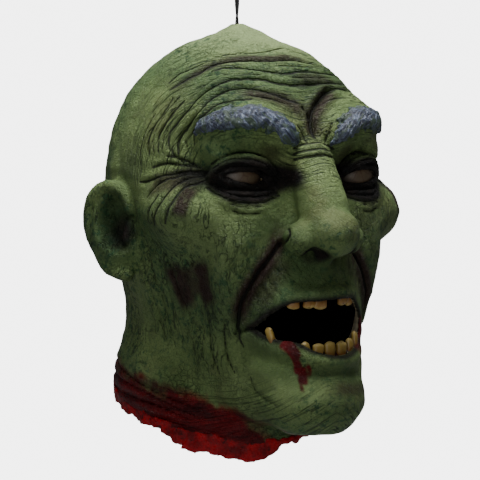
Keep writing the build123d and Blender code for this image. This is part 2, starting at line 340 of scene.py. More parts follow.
def normals_of(vertices, faces):
    """Smooth vertex normals."""
    a, b, c, d = [vertices[faces[:, i]] for i in range(4)]
    face_normals = np.cross(c - a, d - b)
    normals = np.zeros_like(vertices)
    for i in range(4):
        for axis in range(3):
            normals[:, axis] += np.bincount(faces[:, i], face_normals[:, axis], len(vertices))
    return normals / np.maximum(np.linalg.norm(normals, axis=1, keepdims=True), 1e-12)


# ---------------------------------------------------------------- the head's form

# The mouth's edge as (x, z): eight points of the upper lip from the mask's right, then the lower lip
MOUTH_EDGE = [
    (-37, -189), (-31, -180), (-23, -174), (-8, -172), (8, -171), (18, -172), (26, -180), (31, -191),
    (25, -199.5), (15, -204.5), (4, -205.5), (-6, -203.5), (-13, -201.5), (-19, -198), (-27, -196),
    (-33, -193.5),
]

# The left eye's ball and lids, and the slit between them: half its length and height, and its tilt
EYE_CENTRE = (41, -73, -98)
EYE_R = 15.5
LID_R = 17.5
SLIT_HALF = (13.5, 4.0)
SLIT_TILT = -7.0

# How far back the mouth and the slits are cut, and the hole for the cord
MOUTH_BACK = -72
SLIT_BACK = -66
CROWN_HOLE_RADIUS = 2.9

# How far the left ear is turned from straight back, in degrees
EAR_TURN = -40

# The neck's cut: its drop at the head's axis, and how it slopes back and to the mask's left
CUT_DROP = 250.0
NECK_SLOPE = math.tan(math.radians(15))
SIDE_SLOPE = 0.16


def below_cut(x, y, z):
    """How far a point is below the neck's cut, which is lower in front and rises on the mask's left."""
    return y * NECK_SLOPE + SIDE_SLOPE * np.maximum(x, 0) - CUT_DROP - z


def sculpt_form():
    """The whole outside of the head as a solid, before its openings are cut."""
    clay = Clay((-112, -144, -284), (112, 106, 5), STEP)
    clay.field = soft_min(stack(HEAD_SECTIONS, clay), stack(NECK_SECTIONS, clay), 6)

    for side in (1, -1):

        def bulge(centre, radii, soft, turn=0, work=clay.add):
            x, y, z = centre
            work(ball((side * x, y, z), radii, (0, 0, side * turn)), soft)

        def hollow(centre, radii, soft, turn=0):
            bulge(centre, radii, soft, turn, clay.dig)

        def roll(points, radii, soft, work=clay.add):
            work(smooth_tube([(side * x, y, z) for x, y, z in points], radii), soft)

        def groove(points, radii, soft):
            roll(points, radii, soft, clay.dig)

        # Brow ridge with its thick inner end, cheekbone and the hollow of the temple
        bulge((33, -64, -66), (28, 33, 19), 12)
        bulge((19, -86, -72), (13, 15, 11), 8)
        bulge((54, -50, -121), (33, 36, 24), 12)
        hollow((92, -62, -84), (14, 20, 14), 12)

        # Eye socket, and the lids over the ball
        hollow((37, -99, -96), (16, 15, 11), 9)
        hollow((20, -108, -95), (9, 13, 9), 8)
        bulge(EYE_CENTRE, (LID_R, LID_R, LID_R - 2), 4)
        roll([(25, -92, -96), (33, -93, -90), (43, -90, -88), (53, -83, -91), (60, -75, -97)],
             [2, 3, 3.5, 3, 2], 4)
        bulge((41, -81, -111), (17, 11, 7), 5)
        bulge((52, -68, -81), (10, 15, 11), 8)

        # Groove from the wing of the nose to beside the mouth, and the cheek that hangs over it
        roll([(34, -86, -120), (43, -82, -138), (43, -77, -160), (43, -70, -184)], [10, 13, 13, 10], 14)
        groove([(25, -108, -128), (29, -107, -143), (37, -102, -162), (43, -93, -180), (45, -86, -196),
                (41, -90, -212)], [2.5, 3.5, 3.5, 3, 2.5, 1.5], 6)

        # Nostril wing, with a crease behind it and one between it and the tip
        bulge((16.5, -110, -135), (9.5, 12.5, 10), 3, -12)
        groove([(18, -112, -121), (25, -105, -125), (28.5, -101, -133), (28, -101, -143)],
               [1, 1.8, 2.2, 2], 4)
        groove([(9, -131, -118), (12.5, -128, -122), (14.5, -125, -129), (13.5, -124, -140)],
               [1, 2, 2, 1.5], 4)

        # Ear: a cupped plate that faces forwards and out, with its helix, antihelix, lobe and tragus
        bulge((84, 5, -131), (13, 19, 29), 6, EAR_TURN)
        hollow((94, -8, -126), (15, 16, 23), 3, EAR_TURN)
        hollow((86, -6, -133), (9, 7, 9), 3, EAR_TURN)
        roll([(82, -9, -119), (86, -6, -108), (91, 3, -104), (96, 13, -110), (98, 18, -123),
              (96, 18, -137), (92, 13, -149), (88, 5, -157), (82, -2, -160)],
             [3.5, 4, 4, 4, 4, 4, 4, 5.5, 6], 2.5)
        roll([(91, 4, -112), (92, 11, -121), (91, 9, -135), (86, 2, -146)], [2, 2.6, 2.8, 2.6], 3)
        roll([(81, -8, -127), (82, -7, -137)], [3, 3.6], 3)

    # Nose, with a wide bridge, a round tip, dark nostrils and a dimple over each wing
    clay.add(tube([(0, -84, -78), (0, -94, -90), (0, -103, -105), (0, -110, -118), (0, -114, -128)],
                  [10, 14, 15, 15.5, 15]), 6)
    clay.add(ball((0, -121, -131), (15.5, 16.5, 15)), 3.5)
    clay.add(tube([(0, -116, -141), (0, -106, -149)], [6.5, 5]), 4)
    for side in (1, -1):
        clay.dig(ball((side * 10.5, -119, -144.5), (6.2, 8.5, 6.5), (15, 0, 0)), 2)

    # Muzzle, lips and chin
    clay.add(ball((0, -82, -186), (36, 36, 30)), 12)
    clay.add(ball((0, -84, -214), (37, 33, 18)), 8)
    upper_lip = [(x, -119 + 0.027 * x * x, z + 3.5) for x, z in MOUTH_EDGE[:8]]
    lower_lip = [(x, -121 + 0.028 * x * x, z - 4.5) for x, z in MOUTH_EDGE[7:] + MOUTH_EDGE[:1]]
    clay.add(tube(upper_lip, 4), 5)
    clay.add(tube(lower_lip, 5), 5)
    clay.dig(tube([(-15, -119, -218), (-6, -125, -216), (6, -125, -216), (15, -119, -218)], 3.5), 6)
    clay.add(ball((0, -99, -233), (32, 30, 23)), 8)
    return clay


form = sculpt_form()


# ---------------------------------------------------------------- the skin as a mesh with paint


# How far from a fold's bottom its line layer falls to nothing, in mm
SEAM_REACH = 3.0


class Skin:
    """A mesh being shaped and painted: vertices in head coordinates, normals and paint layers."""

    def __init__(self, vertices, faces, layers):
        self.vertices = vertices
        self.faces = faces
        self.normals = normals_of(vertices, faces)
        self.outside = np.ones(len(vertices), bool)
        self.paint = {name: np.zeros(len(vertices)) for name in layers}

    def turn_drop(self):
        """Degrees round the head from the nose, either way, and mm under the crown of every vertex."""
        x, y, z = self.vertices.T
        return np.abs(np.degrees(np.arctan2(x, -y))), -z

    def near(self, path, reach):
        """The vertices within reach of a path, how far each is, and how far along it, from 0 to 1."""
        low, high = path.min(axis=0) - reach, path.max(axis=0) + reach
        picked = ((self.vertices > low) & (self.vertices < high)).all(axis=1) & self.outside
        chosen = np.flatnonzero(picked)
        here = self.vertices[chosen]
        best = np.full(len(chosen), 1e9)
        where = np.zeros(len(chosen))
        for i, (start, end) in enumerate(zip(path, path[1:])):
            run = end - start
            share = np.clip((here - start) @ run / max(run @ run, 1e-9), 0, 1)
            gap = np.linalg.norm(here - start - share[:, None] * run, axis=1)
            where = np.where(gap < best, (i + share) / (len(path) - 1), where)
            best = np.minimum(best, gap)
        close = best < reach
        return chosen[close], best[close], where[close]

    def crease(self, places, width=1.6, depth=1.2, colour=0.8, ends=0.15):
        """A fold pressed in along a smooth line through (angle, drop) places, dark at its bottom."""
        path = self.line(places)
        chosen, gap, along = self.near(path, width * 4)
        fade = np.clip(np.minimum(along, 1 - along) / ends, 0, 1)
        swell = 0.35 * np.exp(-(((gap - 2.0 * width) / width) ** 2))
        dip = 1.15 * np.exp(-((gap / (0.8 * width)) ** 2)) - swell
        self.vertices[chosen] -= self.normals[chosen] * (depth * fade * dip)[:, None]
        self.brush(chosen, 0.7 * colour * fade * np.exp(-((gap / width) ** 2)), "crack")
        line = np.clip(1 - gap / SEAM_REACH, 0, 1) * (0.64 + 0.36 * colour)
        line = line * np.clip(fade * 4, 0, 1) ** 0.3
        self.paint["seam"][chosen] = np.maximum(self.paint["seam"][chosen], line)

    def band(self, places, width, amount, layer, ends=0.2, edge=0.5):
        """Paint along a smooth line, width mm to each side, with a soft edge."""
        path = self.line(places)
        chosen, gap, along = self.near(path, width * (1 + edge))
        fade = np.clip(np.minimum(along, 1 - along) / ends, 0, 1) if ends else 1
        cover = np.clip((width * (1 + edge) - gap) / (2 * width * edge), 0, 1)
        self.brush(chosen, amount * fade * cover * cover * (3 - 2 * cover), layer)

    def spot(self, centre, radii, amount, layer, edge=0.4):
        """Paint in an ellipsoid, full inside and fading over its rim."""
        away = np.sqrt((((self.vertices - centre) / radii) ** 2).sum(axis=1))
        cover = np.clip((1 + edge - away) / (2 * edge), 0, 1) * self.outside
        chosen = np.flatnonzero(cover > 0)
        self.brush(chosen, amount * (cover * cover * (3 - 2 * cover))[chosen], layer)

    def wash(self, amounts, layer):
        """Paint over the whole outside, as much as amounts says at each vertex."""
        self.brush(slice(None), amounts * self.outside, layer)

    def brush(self, chosen, amounts, layer):
        """Lays paint over what is there, never past full."""
        held = self.paint[layer]
        held[chosen] = 1 - (1 - held[chosen]) * (1 - np.clip(amounts, 0, 1))

    def line(self, places):
        """A smooth path on the form through (angle, drop) places."""
        path = curve_through([(a, -d, 0) for a, d in places], 1.5)
        return form.reach(path[:, 0], -path[:, 1])


def ripple(points, size, seed):
    """Smooth random values from -1 to 1 that change over about size mm."""
    rng = np.random.default_rng(seed)
    total = np.zeros(points.shape[:-1])
    for _ in range(14):
        direction = rng.normal(size=3)
        direction /= np.linalg.norm(direction)
        pitch = size * rng.uniform(0.7, 1.6)
        total += np.sin(points @ direction * 2 * math.pi / pitch + rng.uniform(0, 7))
    return total / 4.5


def gap_to_outline(x, z, outline):
    """Signed distance in a plane to a closed outline of (x, z) points, negative inside."""
    best = np.full(np.broadcast(x, z).shape, 1e9, np.float32)
    inside = np.zeros(best.shape, bool)
    for (ax, az), (bx, bz) in zip(outline, np.roll(outline, -1, axis=0)):
        run = (bx - ax, bz - az)
        share = np.clip(((x - ax) * run[0] + (z - az) * run[1]) / (run[0] ** 2 + run[1] ** 2), 0, 1)
        best = np.minimum(best, np.hypot(x - ax - share * run[0], z - az - share * run[1]))
        crosses = (az > z) != (bz > z)
        rise = bz - az if bz != az else 1e-9
        inside ^= crosses & (x < ax + (z - az) * run[0] / rise)
    return np.where(inside, -best, best)


def hollow_out(clay):
    """The skin: a wall under the form's surface, with its mouth, eye slits, crown hole and neck."""
    skin = Clay(clay.low, clay.low + clay.step * (np.array(clay.field.shape) - 1), clay.step)
    skin.field = np.maximum(clay.field, -(clay.field + WALL))
    x, y, z = np.ix_(*[axis.astype(np.float32) for axis in clay.axes])

    loop = curve_through(np.array([(a, b, 0) for a, b in MOUTH_EDGE + MOUTH_EDGE[:1]]), 2)[:-1, :2]
    mouth = gap_to_outline(x[:, :, 0], z[0], loop)[:, None, :]
    skin.field = np.maximum(skin.field, -np.maximum(mouth, y - MOUTH_BACK))

    cos, sin = math.cos(math.radians(SLIT_TILT)), math.sin(math.radians(SLIT_TILT))
    for side in (1, -1):
        aside, rise = side * x - EYE_CENTRE[0], z - EYE_CENTRE[2]
        across, up = aside * cos - rise * sin, aside * sin + rise * cos
        half = SLIT_HALF[1] * np.maximum(1 - (across / SLIT_HALF[0]) ** 2, -1)
        skin.field = np.maximum(skin.field, -np.maximum((np.abs(up) - half) * 0.8, y - SLIT_BACK))

    crown_hole = np.maximum(np.hypot(x, y) - CROWN_HOLE_RADIUS, -12 - z)
    skin.field = np.maximum(skin.field, -crown_hole)
    skin.field = np.maximum(skin.field, below_cut(x, y, z)).astype(np.float32)
    return skin


# Folds: (angle, drop) places, width and depth in mm, and how dark each is.
# The long ones of the forehead come from the top down and wrap round the outer end of a brow.
FOREHEAD_FOLDS = [
    ([(-45, 25), (-38, 23), (-28, 21), (-13, 20), (8, 17), (16, 18), (30, 22)], 1.3, 0.7, 0.6),
    ([(-66, 46), (-57, 38), (-50, 33), (-42, 28), (-28, 26), (-12, 26), (4, 25), (18, 27), (34, 30), (50, 34),
      (60, 42)], 2.0, 1.6, 1.0),
    ([(-68, 41), (-64, 35), (-57, 31), (-48, 27), (-40, 26)], 1.4, 0.8, 0.7),
    ([(-44, 34), (-36, 31), (-24, 31), (-14, 33), (-5, 34), (5, 33), (18, 33), (30, 34), (44, 38)],
     1.6, 1.1, 0.8),
    ([(-58, 82), (-59, 72), (-55, 64), (-50, 56), (-46, 49), (-38, 42), (-30, 38), (-18, 38), (-8, 41),
      (4, 41), (18, 40), (32, 40), (42, 44), (50, 52), (55, 62), (58, 74)], 1.8, 1.5, 0.95),
    ([(-53, 86), (-54, 76), (-50, 68), (-45, 60), (-39, 50), (-31, 44), (-22, 44), (-14, 47), (-7, 51),
      (-2, 54)], 1.9, 1.7, 1.0),
    ([(53, 86), (54, 76), (50, 68), (45, 60), (38, 50), (30, 44), (22, 43), (14, 45), (9, 49), (4, 55)],
     1.9, 1.7, 1.0),
    ([(-47, 72), (-44, 66), (-40, 59), (-35, 53), (-29, 51), (-22, 51)], 1.5, 1.3, 0.9),
    ([(47, 72), (44, 66), (40, 59), (34, 53), (27, 51)], 1.5, 1.2, 0.8),
    ([(-64, 84), (-65, 74), (-62, 66), (-58, 58), (-53, 50)], 1.4, 0.9, 0.8),
    ([(-70, 86), (-71, 76), (-68, 66), (-63, 56), (-60, 48)], 1.3, 0.7, 0.6),
    ([(64, 84), (65, 74), (61, 64), (56, 54)], 1.4, 0.8, 0.7),
    ([(-36, 36), (-27, 35), (-17, 36)], 1.2, 0.6, 0.6),
    ([(-8, 30), (4, 29.5), (20, 30)], 1.2, 0.6, 0.6),
    ([(-26, 48), (-16, 50), (-9, 54)], 1.2, 0.7, 0.6),
    ([(-4, 37), (6, 37), (18, 36.5), (28, 37)], 1.2, 0.7, 0.6),
]

# The frown: a V of deep folds that runs down to the root of the nose
FROWN_FOLDS = [
    ([(20, 43), (14, 45), (9, 49), (5, 54), (2, 60), (1, 68), (1, 76)], 2.2, 2.4, 1.0),
    ([(-2, 54), (0, 60), (1, 66)], 2.0, 1.6, 0.9),
    ([(-7, 66), (-4, 72), (-3, 78)], 1.5, 0.9, 0.6),
    ([(8, 64), (6, 72), (5, 78)], 1.5, 0.9, 0.6),
]

# On each side, with angles for the mask's left: thin folds round the outer end of the brow
BROW_END_FOLDS = [
    [(45, 80), (46, 73), (43, 66), (39, 60), (34, 55)],
    [(49, 81), (50.5, 73), (47.5, 65), (43, 58), (37, 52), (30, 48.5)],
    [(56, 86), (56.5, 76), (53, 67), (48.5, 59), (43, 51), (36, 44)],
    [(61, 86), (62, 76), (58.5, 65), (54, 56), (49, 48), (43, 41), (36, 36)],
    [(67, 84), (68, 74), (65, 64), (60, 54), (56, 47)],
    [(75, 92), (76, 80), (73, 68), (69, 58)],
    [(50, 90), (56, 84), (60, 78)],
]
CROWS_FEET = [
    ([(38, 95), (47, 95), (54, 96), (61, 98), (70, 101), (76, 102)], 1.5, 1.0, 0.9),
    ([(39, 96), (47, 96.5), (56, 99), (62, 104), (68, 112)], 1.6, 1.2, 0.9),
    ([(40, 97), (47, 99), (52, 104), (55, 111), (58, 120), (59, 129)], 1.6, 1.2, 0.9),
    ([(40, 100), (47, 104), (50, 111), (52, 119), (53, 127)], 1.5, 1.0, 0.9),
    ([(41, 93), (50, 91), (60, 90), (68, 93)], 1.4, 0.8, 0.9),
    ([(44, 91), (52, 87), (60, 85)], 1.3, 0.7, 0.9),
    ([(58, 108), (61, 116), (64, 126)], 1.2, 0.6, 0.9),
]


def face_folds():
    """The folds of one side of the face, in the order they are pressed."""
    # Lids: folds over the slit and bags under it, each further out than the last
    folds = []
    for k in (0, 1, 2):
        over = [(13 - k, 101 - k), (18, 94 - 3.0 * k), (24, 91 - 3.6 * k), (31, 91 - 3.4 * k),
                (37 + k, 96 - 2.6 * k)]
        under = [(14 - k, 106 + k), (19, 105.5 + 3.6 * k), (25, 105.5 + 3.9 * k), (32, 104 + 3.4 * k),
                 (38 + k, 99 + 2.2 * k)]
        folds += [(over, 1.5, 2.0 - 0.3 * k, 0.9), (under, 1.6, 2.0 - 0.3 * k, 0.9)]
    for k in (3, 4):
        folds.append(([(20, 105 + 3.4 * k), (25, 106 + 3.5 * k), (31, 104.5 + 3.2 * k)], 1.4, 1.0, 0.7))
    folds += [(places, 1.2, 0.55, 0.55) for places in BROW_END_FOLDS]
    folds += CROWS_FEET

    # Groove from the nose to beside the mouth, and the shorter folds that fan over the upper lip
    folds.append(([(12, 126), (14, 138), (17, 146), (21, 155), (24, 164), (27, 174), (28, 184), (28, 194),
                   (26, 203)], 1.6, 2.2, 1.0))
    for k in range(5):
        bend = 1.2 * math.sin(2.3 * k)
        folds.append(([(11.5 + 2.2 * k, 141 + 5.2 * k), (9.5 + 2.2 * k + bend, 148 + 5 * k),
                       (7 + 2.4 * k, 156 + 4 * k + 2 * bend)], 1.3, 0.5, 0.25))
    folds.append(([(33, 186), (34, 196), (33, 208), (29, 219)], 1.8, 0.9, 0.6))
    folds.append(([(40, 180), (41, 194), (40, 208), (36, 221)], 1.6, 0.7, 0.5))

    # Long soft folds down the cheek and in front of the ear
    for k, (top, bottom) in enumerate(((132, 186), (122, 203), (128, 214), (137, 209))):
        lean = 62 + 6 * k
        folds.append(([(lean, top), (lean - 1, (2 * top + bottom) / 3), (lean - 5, (top + 2 * bottom) / 3),
                       (lean - 11, bottom)], 1.5, 0.6, 0.3))

    # Corners of the mouth and the chin
    folds.append(([(21, 189), (25, 190), (30, 194)], 1.8, 1.2, 0.8))
    folds.append(([(16, 236), (22, 228), (24, 218)], 1.8, 0.8, 0.4))
    return folds


def press_folds(skin):
    """Every fold of the casting, and the slow unevenness of a hand-made one."""
    for places, width, depth, colour in FOREHEAD_FOLDS + FROWN_FOLDS:
        skin.crease(places, width, depth, colour)
    for rise in (0, 3.5, 7):
        places = [(-9, 88 - rise), (-4, 85.5 - rise), (1, 84.5 - rise), (6, 86 - rise), (10, 89 - rise)]
        skin.crease(places, 1.3, 1.1 - 0.1 * rise, 0.85, ends=0.25)
    for side in (1, -1):
        for places, width, depth, colour in face_folds():
            skin.crease([(side * a, d) for a, d in places], width, depth, colour)

    # Folds round the neck, which sink towards the chin and end beside it
    for k in range(6):
        for side in (1, -1):
            places = [(side * a, 222 + 6.5 * k + 0.27 * max(118 - a, 0) + 3 * math.sin(0.05 * a + k + side))
                      for a in range(46 + 3 * (k % 3), 178, 13)]
            skin.crease(places, 1.7, 0.9, 0.55, ends=0.12)


# Paint on each side: a spot's centre for the mask's left, radii, amount, layer and softness
SIDE_SPOTS = [
    ((41, -88, -100), (23, 30, 15), 1.0, "eye", 0.18),
    ((22, -98, -98), (12, 20, 9), 1.0, "eye", 0.3),
    ((62, -72, -98), (13, 20, 7), 0.85, "eye", 0.6),
    # The spots from here on are painted shade: in the nostril, at the mouth's corner, in the ear's bowl and
    # its hole, in the dimple beside the nose's tip, and above the ear.
    ((10.5, -118, -145.5), (8.5, 12, 7.5), 1.0, "eye", 0.25),
    ((30, -92, -190), (14, 16, 16), 0.5, "painted_shade", 0.5),
    ((90, -2, -127), (11, 13, 20), 1.0, "painted_shade", 0.3),
    ((85, -4, -133), (8, 10, 11), 1.0, "eye", 0.55),
    ((17, -124, -123), (5, 5, 5), 0.6, "painted_shade", 0.6),
    ((80, -8, -92), (12, 14, 12), 0.5, "painted_shade", 0.6),
]

# Strokes of a brush: (angle, drop) places, half width, amount, and how soft their ends and edges are.
# Brown ones on each side: under the eye, out from its corner, down the groove and beside the nose
SIDE_BROWN = [
    ([(43, 102), (46, 109), (47, 116), (48, 123)], 5.0, 0.95, 0.2, 0.5),
    ([(42, 97), (55, 101), (68, 106)], 8, 0.75, 0.2, 0.5),
    ([(12, 123), (15, 139), (19, 150), (24, 163), (27, 176), (28, 192)], 5.5, 0.98, 0.2, 0.5),
    ([(13, 142), (18, 160), (23, 178)], 9, 0.55, 0.2, 0.5),
    ([(18, 76), (16, 84), (14, 92)], 6, 0.6, 0.3, 0.8),
]

# Brown ones in the forehead's folds, the smears on the cheeks, and the fold over the chin
BROWN = [
    ([(-66, 46), (-57, 39), (-47, 31), (-40, 28), (-28, 25), (-12, 24.5), (6, 24), (24, 27)],
     3.6, 0.85, 0.2, 0.8),
    ([(-6, 36), (4, 37), (16, 37), (26, 37)], 5.0, 0.65, 0.3, 0.9),
    ([(-30, 47), (-22, 48), (-13, 50), (-6, 54), (0, 62)], 5.0, 0.85, 0.2, 0.8),
    ([(18, 44), (10, 49), (5, 56), (1, 64), (1, 76)], 5.5, 0.95, 0.15, 0.8),
    ([(-60, 150), (-57, 163), (-54, 171), (-50, 182)], 7.0, 0.97, 0.2, 0.45),
    ([(-45, 147), (-43, 157), (-42, 166), (-39, 179)], 7.0, 0.99, 0.2, 0.45),
    ([(-52, 152), (-50, 163), (-48, 174)], 6.0, 0.8, 0.2, 0.6),
    ([(48, 149), (46, 160), (44, 170), (40, 181)], 6.5, 0.9, 0.25, 0.45),
    ([(-6, 226), (4, 225), (14, 228), (22, 233)], 4.0, 0.7, 0.25, 0.8),
]

# The blood that runs from the mouth's right side
BLOOD = [
    ([(-13.5, 195), (-11.8, 202), (-10.4, 209), (-9.8, 216)], 2.6, 1.0, 0.05, 0.5),
    ([(-14.5, 196), (-12, 201), (-10.5, 206)], 3.4, 0.95, 0.1, 0.6),
    ([(-9.4, 211), (-9.0, 217), (-9.7, 222)], 2.9, 0.95, 0.15, 0.5),
    ([(-8.2, 208), (-7.0, 213), (-7.2, 219)], 1.3, 0.85, 0.25, 0.9),
    ([(-9.6, 219), (-9.9, 223), (-9.4, 227)], 1.1, 0.7, 0.3, 0.9),
]

# Where the neck's red starts: degrees from the nose, and drop
RED_TURNS = [0, 16, 27, 44, 67, 93, 116, 180]
RED_DROPS = [266, 252, 243, 237, 233, 226, 217, 212]


def paint_face(skin, drop):
    """Black-brown round the eyes, brown in the folds, painted shade round the lips and in deeper greens, and
    a paler green of painted highlight.
    """
    for side in (1, -1):
        for (x, y, z), radii, amount, layer, edge in SIDE_SPOTS:
            skin.spot((side * x, y, z), radii, amount, layer, edge)
        for places, width, amount, ends, edge in SIDE_BROWN:
            skin.band([(side * a, d) for a, d in places], width, amount, "brown", ends, edge)
    for places, width, amount, ends, edge in BROWN:
        skin.band(places, width, amount, "brown", ends, edge)
    # Near-black round the mouth's edge: painted shade where the lips turn in.
    lip = [(math.degrees(math.atan2(x, 121 - 0.027 * x * x)), -z) for x, z in MOUTH_EDGE]
    skin.band(lip + lip[:1], 2.4, 0.95, "eye", 0, 0.7)
    # Painted shade under the lower lip, under the nose and over everything below the eyes, less from the jaw
    # down; then a painted highlight that makes the crown paler.
    skin.spot((0, -118, -216), (26, 14, 6), 0.7, "painted_shade", 0.6)
    skin.spot((0, -116, -152), (20, 16, 8), 0.5, "painted_shade", 0.6)
    skin.wash(0.30 * np.clip((drop - 100) / 30, 0, 1) * np.clip((225 - drop) / 45, 0.3, 1), "painted_shade")
    skin.wash(np.clip((34 - drop) / 30, 0, 1), "pale")


def paint_red(skin, turn, drop):
    """The red neck, with a soft sprayed edge, and the blood at the mouth."""
    edge = np.interp(turn, RED_TURNS, RED_DROPS)
    edge += 3.0 * ripple(skin.vertices, 24, 8) + 1.5 * ripple(skin.vertices, 8, 9)
    skin.wash(np.clip((drop - edge + 5) / 12, 0, 1), "red")
    for places, width, amount, ends, soft in BLOOD:
        skin.band(places, width, amount, "red", ends, soft)
    skin.spot((30, -93, -192), (7, 14, 11), 0.95, "red", 0.5)
    skin.spot((24, -100, -203), (9, 12, 5), 0.8, "red", 0.6)


def mark_fine_lines(skin, turn, drop):
    """Where fine lines run across and where they run down, and how far each point is from the brows."""
    forehead = np.clip((drop - 16) / 10, 0, 1) * np.clip((112 - drop) / 14, 0, 1)
    forehead = forehead * np.clip((92 - turn) / 22, 0, 1)
    eyes = np.clip((drop - 70) / 8, 0, 1) * np.clip((46 - turn) / 6, 0, 1) * np.clip((turn - 10) / 5, 0, 1)
    neck = np.exp(-(((drop - 245) / 20) ** 2))
    skin.paint["flow"] = np.clip(forehead * (1 - eyes) + neck, 0, 1) * skin.outside
    half = [(52, 102), (47, 80), (34, 66), (18, 64)]
    arcs = [(-a, d) for a, d in half] + [(0, 72)] + half[::-1]
    brows = form.reach(*curve_through([(a, d, 0) for a, d in arcs], 3.0)[:, :2].T)
    skin.paint["ring"] = np.minimum.reduce([np.linalg.norm(skin.vertices - point, axis=1) for point in brows])
    fall = np.clip((drop - 95) / 30, 0, 1) * np.clip((240 - drop) / 30, 0, 1)
    skin.paint["fall"] = fall * np.clip((turn - 12) / 25, 0.15, 1) * skin.outside


def shape_skin():
    """The head's skin, wrinkled and painted."""
    layers = ["eye", "brown", "crack", "red", "painted_shade", "inside", "flow", "fall", "ring", "pale", "seam"]
    skin = Skin(*skinned(hollow_out(form)), layers)
    depth = form.sample(skin.vertices)
    skin.outside = depth > -WALL * 0.55
    skin.paint["inside"] = 1.0 * (depth < -WALL * 0.75)

    # Inside, round the openings that show it, the latex is black too: painted shade for the dark inside of
    # the head
    x, y, z = EYE_CENTRE
    for centre, reach in (((x, y, z), 24), ((-x, y, z), 24), ((-3, -112, -189), 44)):
        near = np.linalg.norm(skin.vertices - centre, axis=1) < reach
        skin.paint["eye"][near & ~skin.outside] = 1.0

    turn, drop = skin.turn_drop()
    press_folds(skin)
    lumps = 0.5 * ripple(skin.vertices, 26, 3) + 0.22 * ripple(skin.vertices, 9, 4)
    skin.vertices += skin.normals * (lumps * skin.outside)[:, None]
    paint_face(skin, drop)
    paint_red(skin, turn, drop)
    mark_fine_lines(skin, turn, drop)
    return skin


skin = shape_skin()


# ---------------------------------------------------------------- camera, light and stage

AZIMUTH = math.radians(-29)
ELEVATION = math.radians(3)
AIM = Vector((0, -0.020, CROWN_Z - 0.138))
DISTANCE = 1.150


def make_camera():
    """A long lens at the angle of the picture, a little above the middle of the face."""
    back = Vector((math.sin(AZIMUTH) * math.cos(ELEVATION), -math.cos(AZIMUTH) * math.cos(ELEVATION),
                   math.sin(ELEVATION)))
    data = bpy.data.cameras.new("camera")
    data.lens = 132.8
    data.sensor_width = 36
    data.shift_x = -0.0246
    data.shift_y = -0.0068
    data.clip_end = 50
    camera = bpy.data.objects.new("camera", data)
    camera.location = AIM + back * DISTANCE
    camera.rotation_euler = back.to_track_quat("Z", "Y").to_euler()
    bpy.context.scene.collection.objects.link(camera)
    bpy.context.scene.camera = camera


def make_light(name, place, size, power):
    """A square soft box that faces the head."""
    data = bpy.data.lights.new(name, "AREA")
    data.shape = "SQUARE"
    data.size = size
    data.energy = power
    light = bpy.data.objects.new(name, data)
    light.location = place
    light.rotation_euler = (Vector(place) - AIM).to_track_quat("Z", "Y").to_euler()
    bpy.context.scene.collection.objects.link(light)


def add_object(name, vertices, faces):
    """A smooth mesh object from row-frame vertices; faces all have the same number of corners."""
    faces = np.asarray(faces)
    mesh = bpy.data.meshes.new(name)
    mesh.vertices.add(len(vertices))
    mesh.vertices.foreach_set("co", np.asarray(vertices, np.float32).ravel())
    mesh.loops.add(faces.size)
    mesh.loops.foreach_set("vertex_index", faces.astype(np.int32).ravel())
    mesh.polygons.add(len(faces))
    mesh.polygons.foreach_set("loop_start", np.arange(0, faces.size, faces.shape[1], dtype=np.int32))
    mesh.polygons.foreach_set("use_smooth", np.ones(len(faces), bool))
    mesh.update(calc_edges=True)
    mesh.validate()
    piece = bpy.data.objects.new(name, mesh)
    bpy.context.scene.collection.objects.link(piece)
    return piece


def grid_faces(rings, rounds):
    """Faces of a tube of closed rings, one after the other."""
    return [(i * rounds + j, i * rounds + (j + 1) % rounds, (i + 1) * rounds + (j + 1) % rounds,
             (i + 1) * rounds + j) for i in range(rings - 1) for j in range(rounds)]


def disc_faces(first, rounds):
    """Faces that close a ring of vertices which starts at first."""
    return [tuple(first + k for k in (j, j + 1, rounds - 2 - j, rounds - 1 - j))
            for j in range(rounds // 2 - 1)]


def add_layer(piece, name, values):
    """A paint layer that a material reads by name, one number for each vertex."""
    layer = piece.data.attributes.new(name, "FLOAT", "POINT")
    layer.data.foreach_set("value", np.asarray(values, np.float32))


def make_stage():
    """A pale floor that curves up into a backdrop all round the far side."""
    floor_z = CROWN_Z - 0.62
    profile = [(0.0, 0.0), (2.2, 0.0), (2.5, 0.04), (2.75, 0.15), (2.92, 0.35), (3.0, 0.7), (3.0, 4.0)]
    turns = 64
    vertices = [(r * math.cos(a), r * math.sin(a), floor_z + h)
                for r, h in profile for a in np.linspace(0, 2 * math.pi, turns, endpoint=False)]
    stage = add_object("studio_floor", vertices, grid_faces(len(profile), turns))
    paint = Paint("studio_white")
    seen = paint.node("LightPath").outputs["Is Camera Ray"]
    paint.finish(Base_Color=(0.35, 0.35, 0.35, 1), Roughness=0.9, Specular_IOR_Level=0.1,
                 Emission_Color=(1, 1, 1, 1), Emission_Strength=paint.times(seen, 5.0))
    stage.data.materials.append(paint.material)


def make_world():
    """A faint white world, so that no shadow is quite black."""
    world = bpy.data.worlds.new("studio")
    world.use_nodes = True
    world.node_tree.nodes["Background"].inputs[0].default_value = (1, 1, 1, 1)
    world.node_tree.nodes["Background"].inputs[1].default_value = 0.05
    bpy.context.scene.world = world


# ---------------------------------------------------------------- materials


